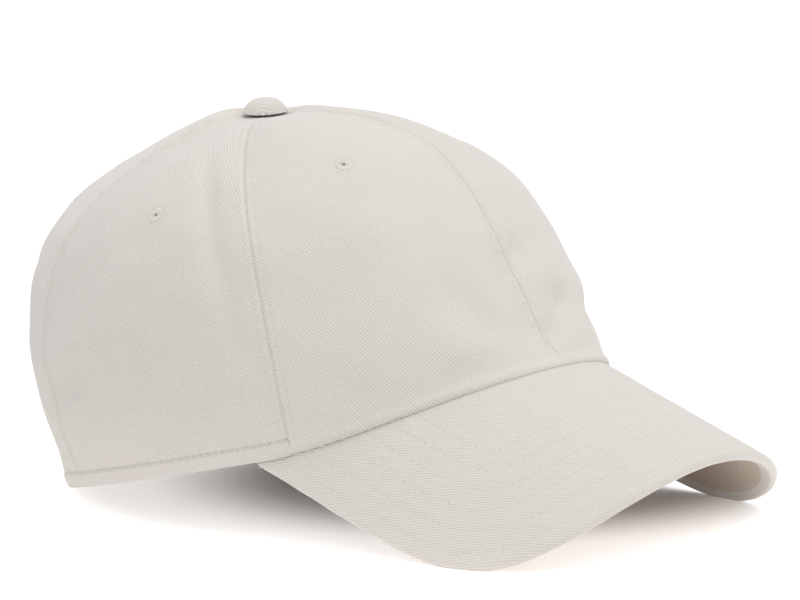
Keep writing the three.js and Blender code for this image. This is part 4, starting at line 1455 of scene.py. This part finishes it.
def cone_place(arc, out, z):
    """A point by its arc length round the strap's cone, its distance out from the crown, and height."""
    arc, out, z = np.broadcast_arrays(*(np.asarray(v, float) for v in (arc, out, z)))
    radius = CONE_RADIUS + CONE_FLARE * z + out
    turn = arc / CONE_RADIUS
    return np.stack([radius * np.sin(turn), STRAP_AXIS_Y + radius * np.cos(turn), z], axis=-1)


def band_section(low, high, thick):
    """A flat band's section with round edges: (height, share of the thickness from -0.5 to 0.5)."""
    bend = np.linspace(-pi / 2.0, pi / 2.0, 7)
    half = thick / 2.0
    upper = [(high - half + half * cos(t), 0.5 * sin(t)) for t in bend]
    lower = [(low + half - half * cos(t), -0.5 * sin(t)) for t in bend]
    flat = np.linspace(high - half, low + half, 13)[1:-1]
    dent = 0.12 * bell(np.minimum(flat - low, high - flat) - STRAP_ROW_INSET, 0.5)
    face = list(zip(flat, 0.5 - dent))
    back = list(zip(flat, dent - 0.5))[::-1]
    return np.array(upper + face + lower + back)


def cone_band(name, arcs, out, section, body):
    """A sewn band of one section round the strap's cone, in place of the model's node of that name."""
    arc, z = np.meshgrid(arcs, section[:, 0], indexing="ij")
    points, faces = tube(cone_place(arc, out, z))
    flat = np.stack([arc, z], axis=-1).reshape(-1, 2)
    mesh = new_mesh(f"{name}_cloth", points, [group[:, ::-1] for group in faces], flat)
    return piece(mesh, TWILL, body, [name])


def strap_middle(arc):
    """Distance out to the middle of the strap; it rises to the hem where it is sewn down."""
    rise = 1.7 * smoothstep(arc, 18.0, 36.0)
    return STRAP_OUTER - STRAP_THICK / 2.0 + rise


def strap_face(arc):
    """Distance out to the strap's outer face, sunk a little along its stitches."""
    return strap_middle(arc) + 0.38 * STRAP_THICK


def adjuster_strap():
    """The strap from its free tail to its sewn end, both rounded off in thickness."""
    step = np.array([0.0, 0.1, 0.3, STRAP_END_ROUND])
    between = np.arange(STRAP_TAIL + 1.4, STRAP_SEWN - 1.2, 0.9)
    arcs = np.concatenate([STRAP_TAIL + step, between, STRAP_SEWN - step[::-1]])
    rounding = quarter_round(1.0 - (arcs - arcs[0]) / STRAP_END_ROUND, 0.02)
    rounding *= quarter_round(1.0 - (arcs[-1] - arcs) / STRAP_END_ROUND, 0.02)
    section = band_section(STRAP_LOW, STRAP_HIGH, STRAP_THICK)
    out = strap_middle(arcs)[:, None] + section[None, :, 1] * (STRAP_THICK * rounding)[:, None]
    strap = cone_band("adjuster_strap", arcs, out, section, "crown")


def strap_rows(start, end, out_at):
    """Rows of stitches along both edges of a band round the strap's cone."""
    rows = []
    arc = np.linspace(start, end, 300)
    for z in (STRAP_LOW + STRAP_ROW_INSET, STRAP_HIGH - STRAP_ROW_INSET):
        path = cone_place(arc, out_at(arc), z)
        beyond = cone_place(arc, out_at(arc) + 1.0, z)
        rows.append(stitch_row(path, beyond - path))
    return rows


TAB_NOSE = CLASP_ARC - CLASP_HALF + BAR_WIDTH + 0.9


def tab_faces(arc):
    """The outer and inner faces of the tab, which swells over the clasp's end bar."""
    bar = CLASP_ARC - CLASP_HALF
    outer = lerp(-3.0, -1.2, smoothstep(arc, bar - 4.0, bar - 1.0))
    turn = quarter_round((arc - TAB_NOSE + 1.4) / 1.4)
    middle = -2.6
    return lerp(middle, outer, turn), lerp(middle, -4.0, turn)


def tab_face(arc):
    """Distance out to the tab's outer face, sunk a little along its stitches."""
    return tab_faces(arc)[0] - 0.1


def clasp_tab():
    """The cloth loop that holds the clasp by its end bar."""
    nose_arcs = np.linspace(TAB_NOSE - 1.5, TAB_NOSE, 12)
    arcs = np.concatenate([np.arange(STRAP_TAIL - 2.0, TAB_NOSE - 1.6, 0.8), nose_arcs])
    outer, inner = tab_faces(arcs)
    section = band_section(STRAP_LOW, STRAP_HIGH, 1.0)
    out = lerp(inner[:, None], outer[:, None], 0.5 + section[None, :, 1])
    cone_band("clasp_tab", arcs, out, section, "clasp")


adjuster_strap()
clasp_tab()
tab_row_end = CLASP_ARC - CLASP_HALF - 1.5
stitches("strap_stitching", strap_rows(STRAP_TAIL + 2.0, STRAP_SEWN - 1.0, strap_face))
stitches("clasp_tab_stitching", strap_rows(STRAP_TAIL, tab_row_end, tab_face), "clasp")

# ---------------------------------------------------------------- CAD nodes that stay

WORN_EDGE = 0.18 * MM
KEPT_NODES = {
    "clasp_frame": BRASS, "clasp_lever": BRASS, "clasp_pin": STEEL,
    "button_shell": STEEL, "button_stud": STEEL, "bill_board": PLASTIC,
}
for node, material in KEPT_NODES.items():
    obj = bpy.data.objects[node]
    obj.data.materials.clear()
    obj.data.materials.append(material)
    if node != "bill_board":
        bevel = obj.modifiers.new("worn_edges", "BEVEL")
        bevel.width = WORN_EDGE
        bevel.segments = 2
        bevel.limit_method = "ANGLE"
        bevel.angle_limit = radians(30.0)

# ---------------------------------------------------------------- floor, light and camera

FLOOR_HALF = 9.0
SHADOW_CORE = (0.06, 0.0, 0.0)
CORE_GLOW = 0.02
RING_GLOW = 0.62
HORIZON_GLOW = 0.25
RING_STARTS = (0.066, 0.126)
RING_ENDS = (0.14, 0.23)
HORIZON = (0.6, 2.5)


def floor():
    """A pale floor that glows softly in a ring round the middle of the cap's shadow, and far off."""
    mesh = bpy.data.meshes.new("studio_floor")
    corners = [(FLOOR_HALF * x, FLOOR_HALF * y, 0) for x, y in ((-1, -1), (1, -1), (1, 1), (-1, 1))]
    mesh.from_pydata(corners, [], [(0, 1, 2, 3)])
    obj = link("studio_floor", mesh)
    shader = Shader("studio_white", roughness=0.9, Specular_IOR_Level=0.1)
    paper = shader.noise(30.0, 2.0)
    base = shader.tint(paper, (0.835, 0.83, 0.825), (0.85, 0.85, 0.85))
    shader.surface.inputs["Emission Color"].default_value = (1.0, 0.97, 0.955, 1.0)
    ends = {0: shader.position(), 1: SHADOW_CORE}
    away = shader.add("ShaderNodeVectorMath", ends, operation="DISTANCE").outputs["Value"]
    inner = shader.remap(away, *RING_STARTS, CORE_GLOW, RING_GLOW, "SMOOTHSTEP")
    outer = shader.remap(away, *RING_ENDS, 1.0, 0.0, "SMOOTHSTEP")
    horizon = shader.remap(away, *HORIZON, 0.0, HORIZON_GLOW, "SMOOTHSTEP")
    glow = shader.math("MULTIPLY_ADD", inner, outer, horizon)
    shader.feed(shader.surface.inputs["Emission Strength"], glow)
    mesh.materials.append(shader.finish(base))


def aim(obj, place, target):
    """Puts an object at a place, looking down its own -Z at the target with its +Y upward."""
    back = unit(place - target)
    right = unit(np.cross([0.0, 0.0, 1.0], back))
    up = np.cross(back, right)
    matrix = np.eye(4)
    matrix[:3, 0], matrix[:3, 1], matrix[:3, 2], matrix[:3, 3] = right, up, back, place
    obj.matrix_world = Matrix(matrix.tolist())


WORLD_LIGHT = 1.05
OVERHEAD_LIGHT = 10.0
OVERHEAD_SIZE = 1.5
OVERHEAD_PLACE = np.array([0.1, -0.4, 1.5])
OVERHEAD_TARGET = np.array([0.0, 0.0, 0.05])


def studio():
    """A white surround and one large soft light overhead."""
    scene = bpy.context.scene
    scene.view_settings.view_transform = "Standard"
    world = bpy.data.worlds.new("studio_world")
    scene.world = world
    world.use_nodes = True
    background = world.node_tree.nodes["Background"]
    background.inputs["Color"].default_value = (1.0, 1.0, 1.0, 1.0)
    background.inputs["Strength"].default_value = WORLD_LIGHT
    light = bpy.data.lights.new("overhead_softbox", "AREA")
    light.shape = "DISK"
    light.size = OVERHEAD_SIZE
    light.energy = OVERHEAD_LIGHT
    aim(link("overhead_softbox", light), OVERHEAD_PLACE, OVERHEAD_TARGET)


CAMERA_AZIMUTH = radians(-52.584)
CAMERA_ELEVATION = radians(7.624)
CAMERA_DISTANCE = 1.2343
CAMERA_LENS = 168.8
CAMERA_SENSOR = 36.0
CAMERA_AIM_RIGHT = 0.0200
CAMERA_AIM_UP = 0.0466


def camera():
    """The photo's view."""
    data = bpy.data.cameras.new("camera")
    data.lens = CAMERA_LENS
    data.sensor_width = CAMERA_SENSOR
    obj = link("camera", data)
    right = np.array([cos(CAMERA_AZIMUTH), sin(CAMERA_AZIMUTH), 0.0])
    target = CAP_ORIGIN + right * CAMERA_AIM_RIGHT + np.array([0.0, 0.0, CAMERA_AIM_UP])
    toward = np.array(
        [
            sin(CAMERA_AZIMUTH) * cos(CAMERA_ELEVATION),
            -cos(CAMERA_AZIMUTH) * cos(CAMERA_ELEVATION),
            sin(CAMERA_ELEVATION),
        ]
    )
    aim(obj, target + toward * CAMERA_DISTANCE, target)
    bpy.context.scene.camera = obj


floor()
studio()
camera()
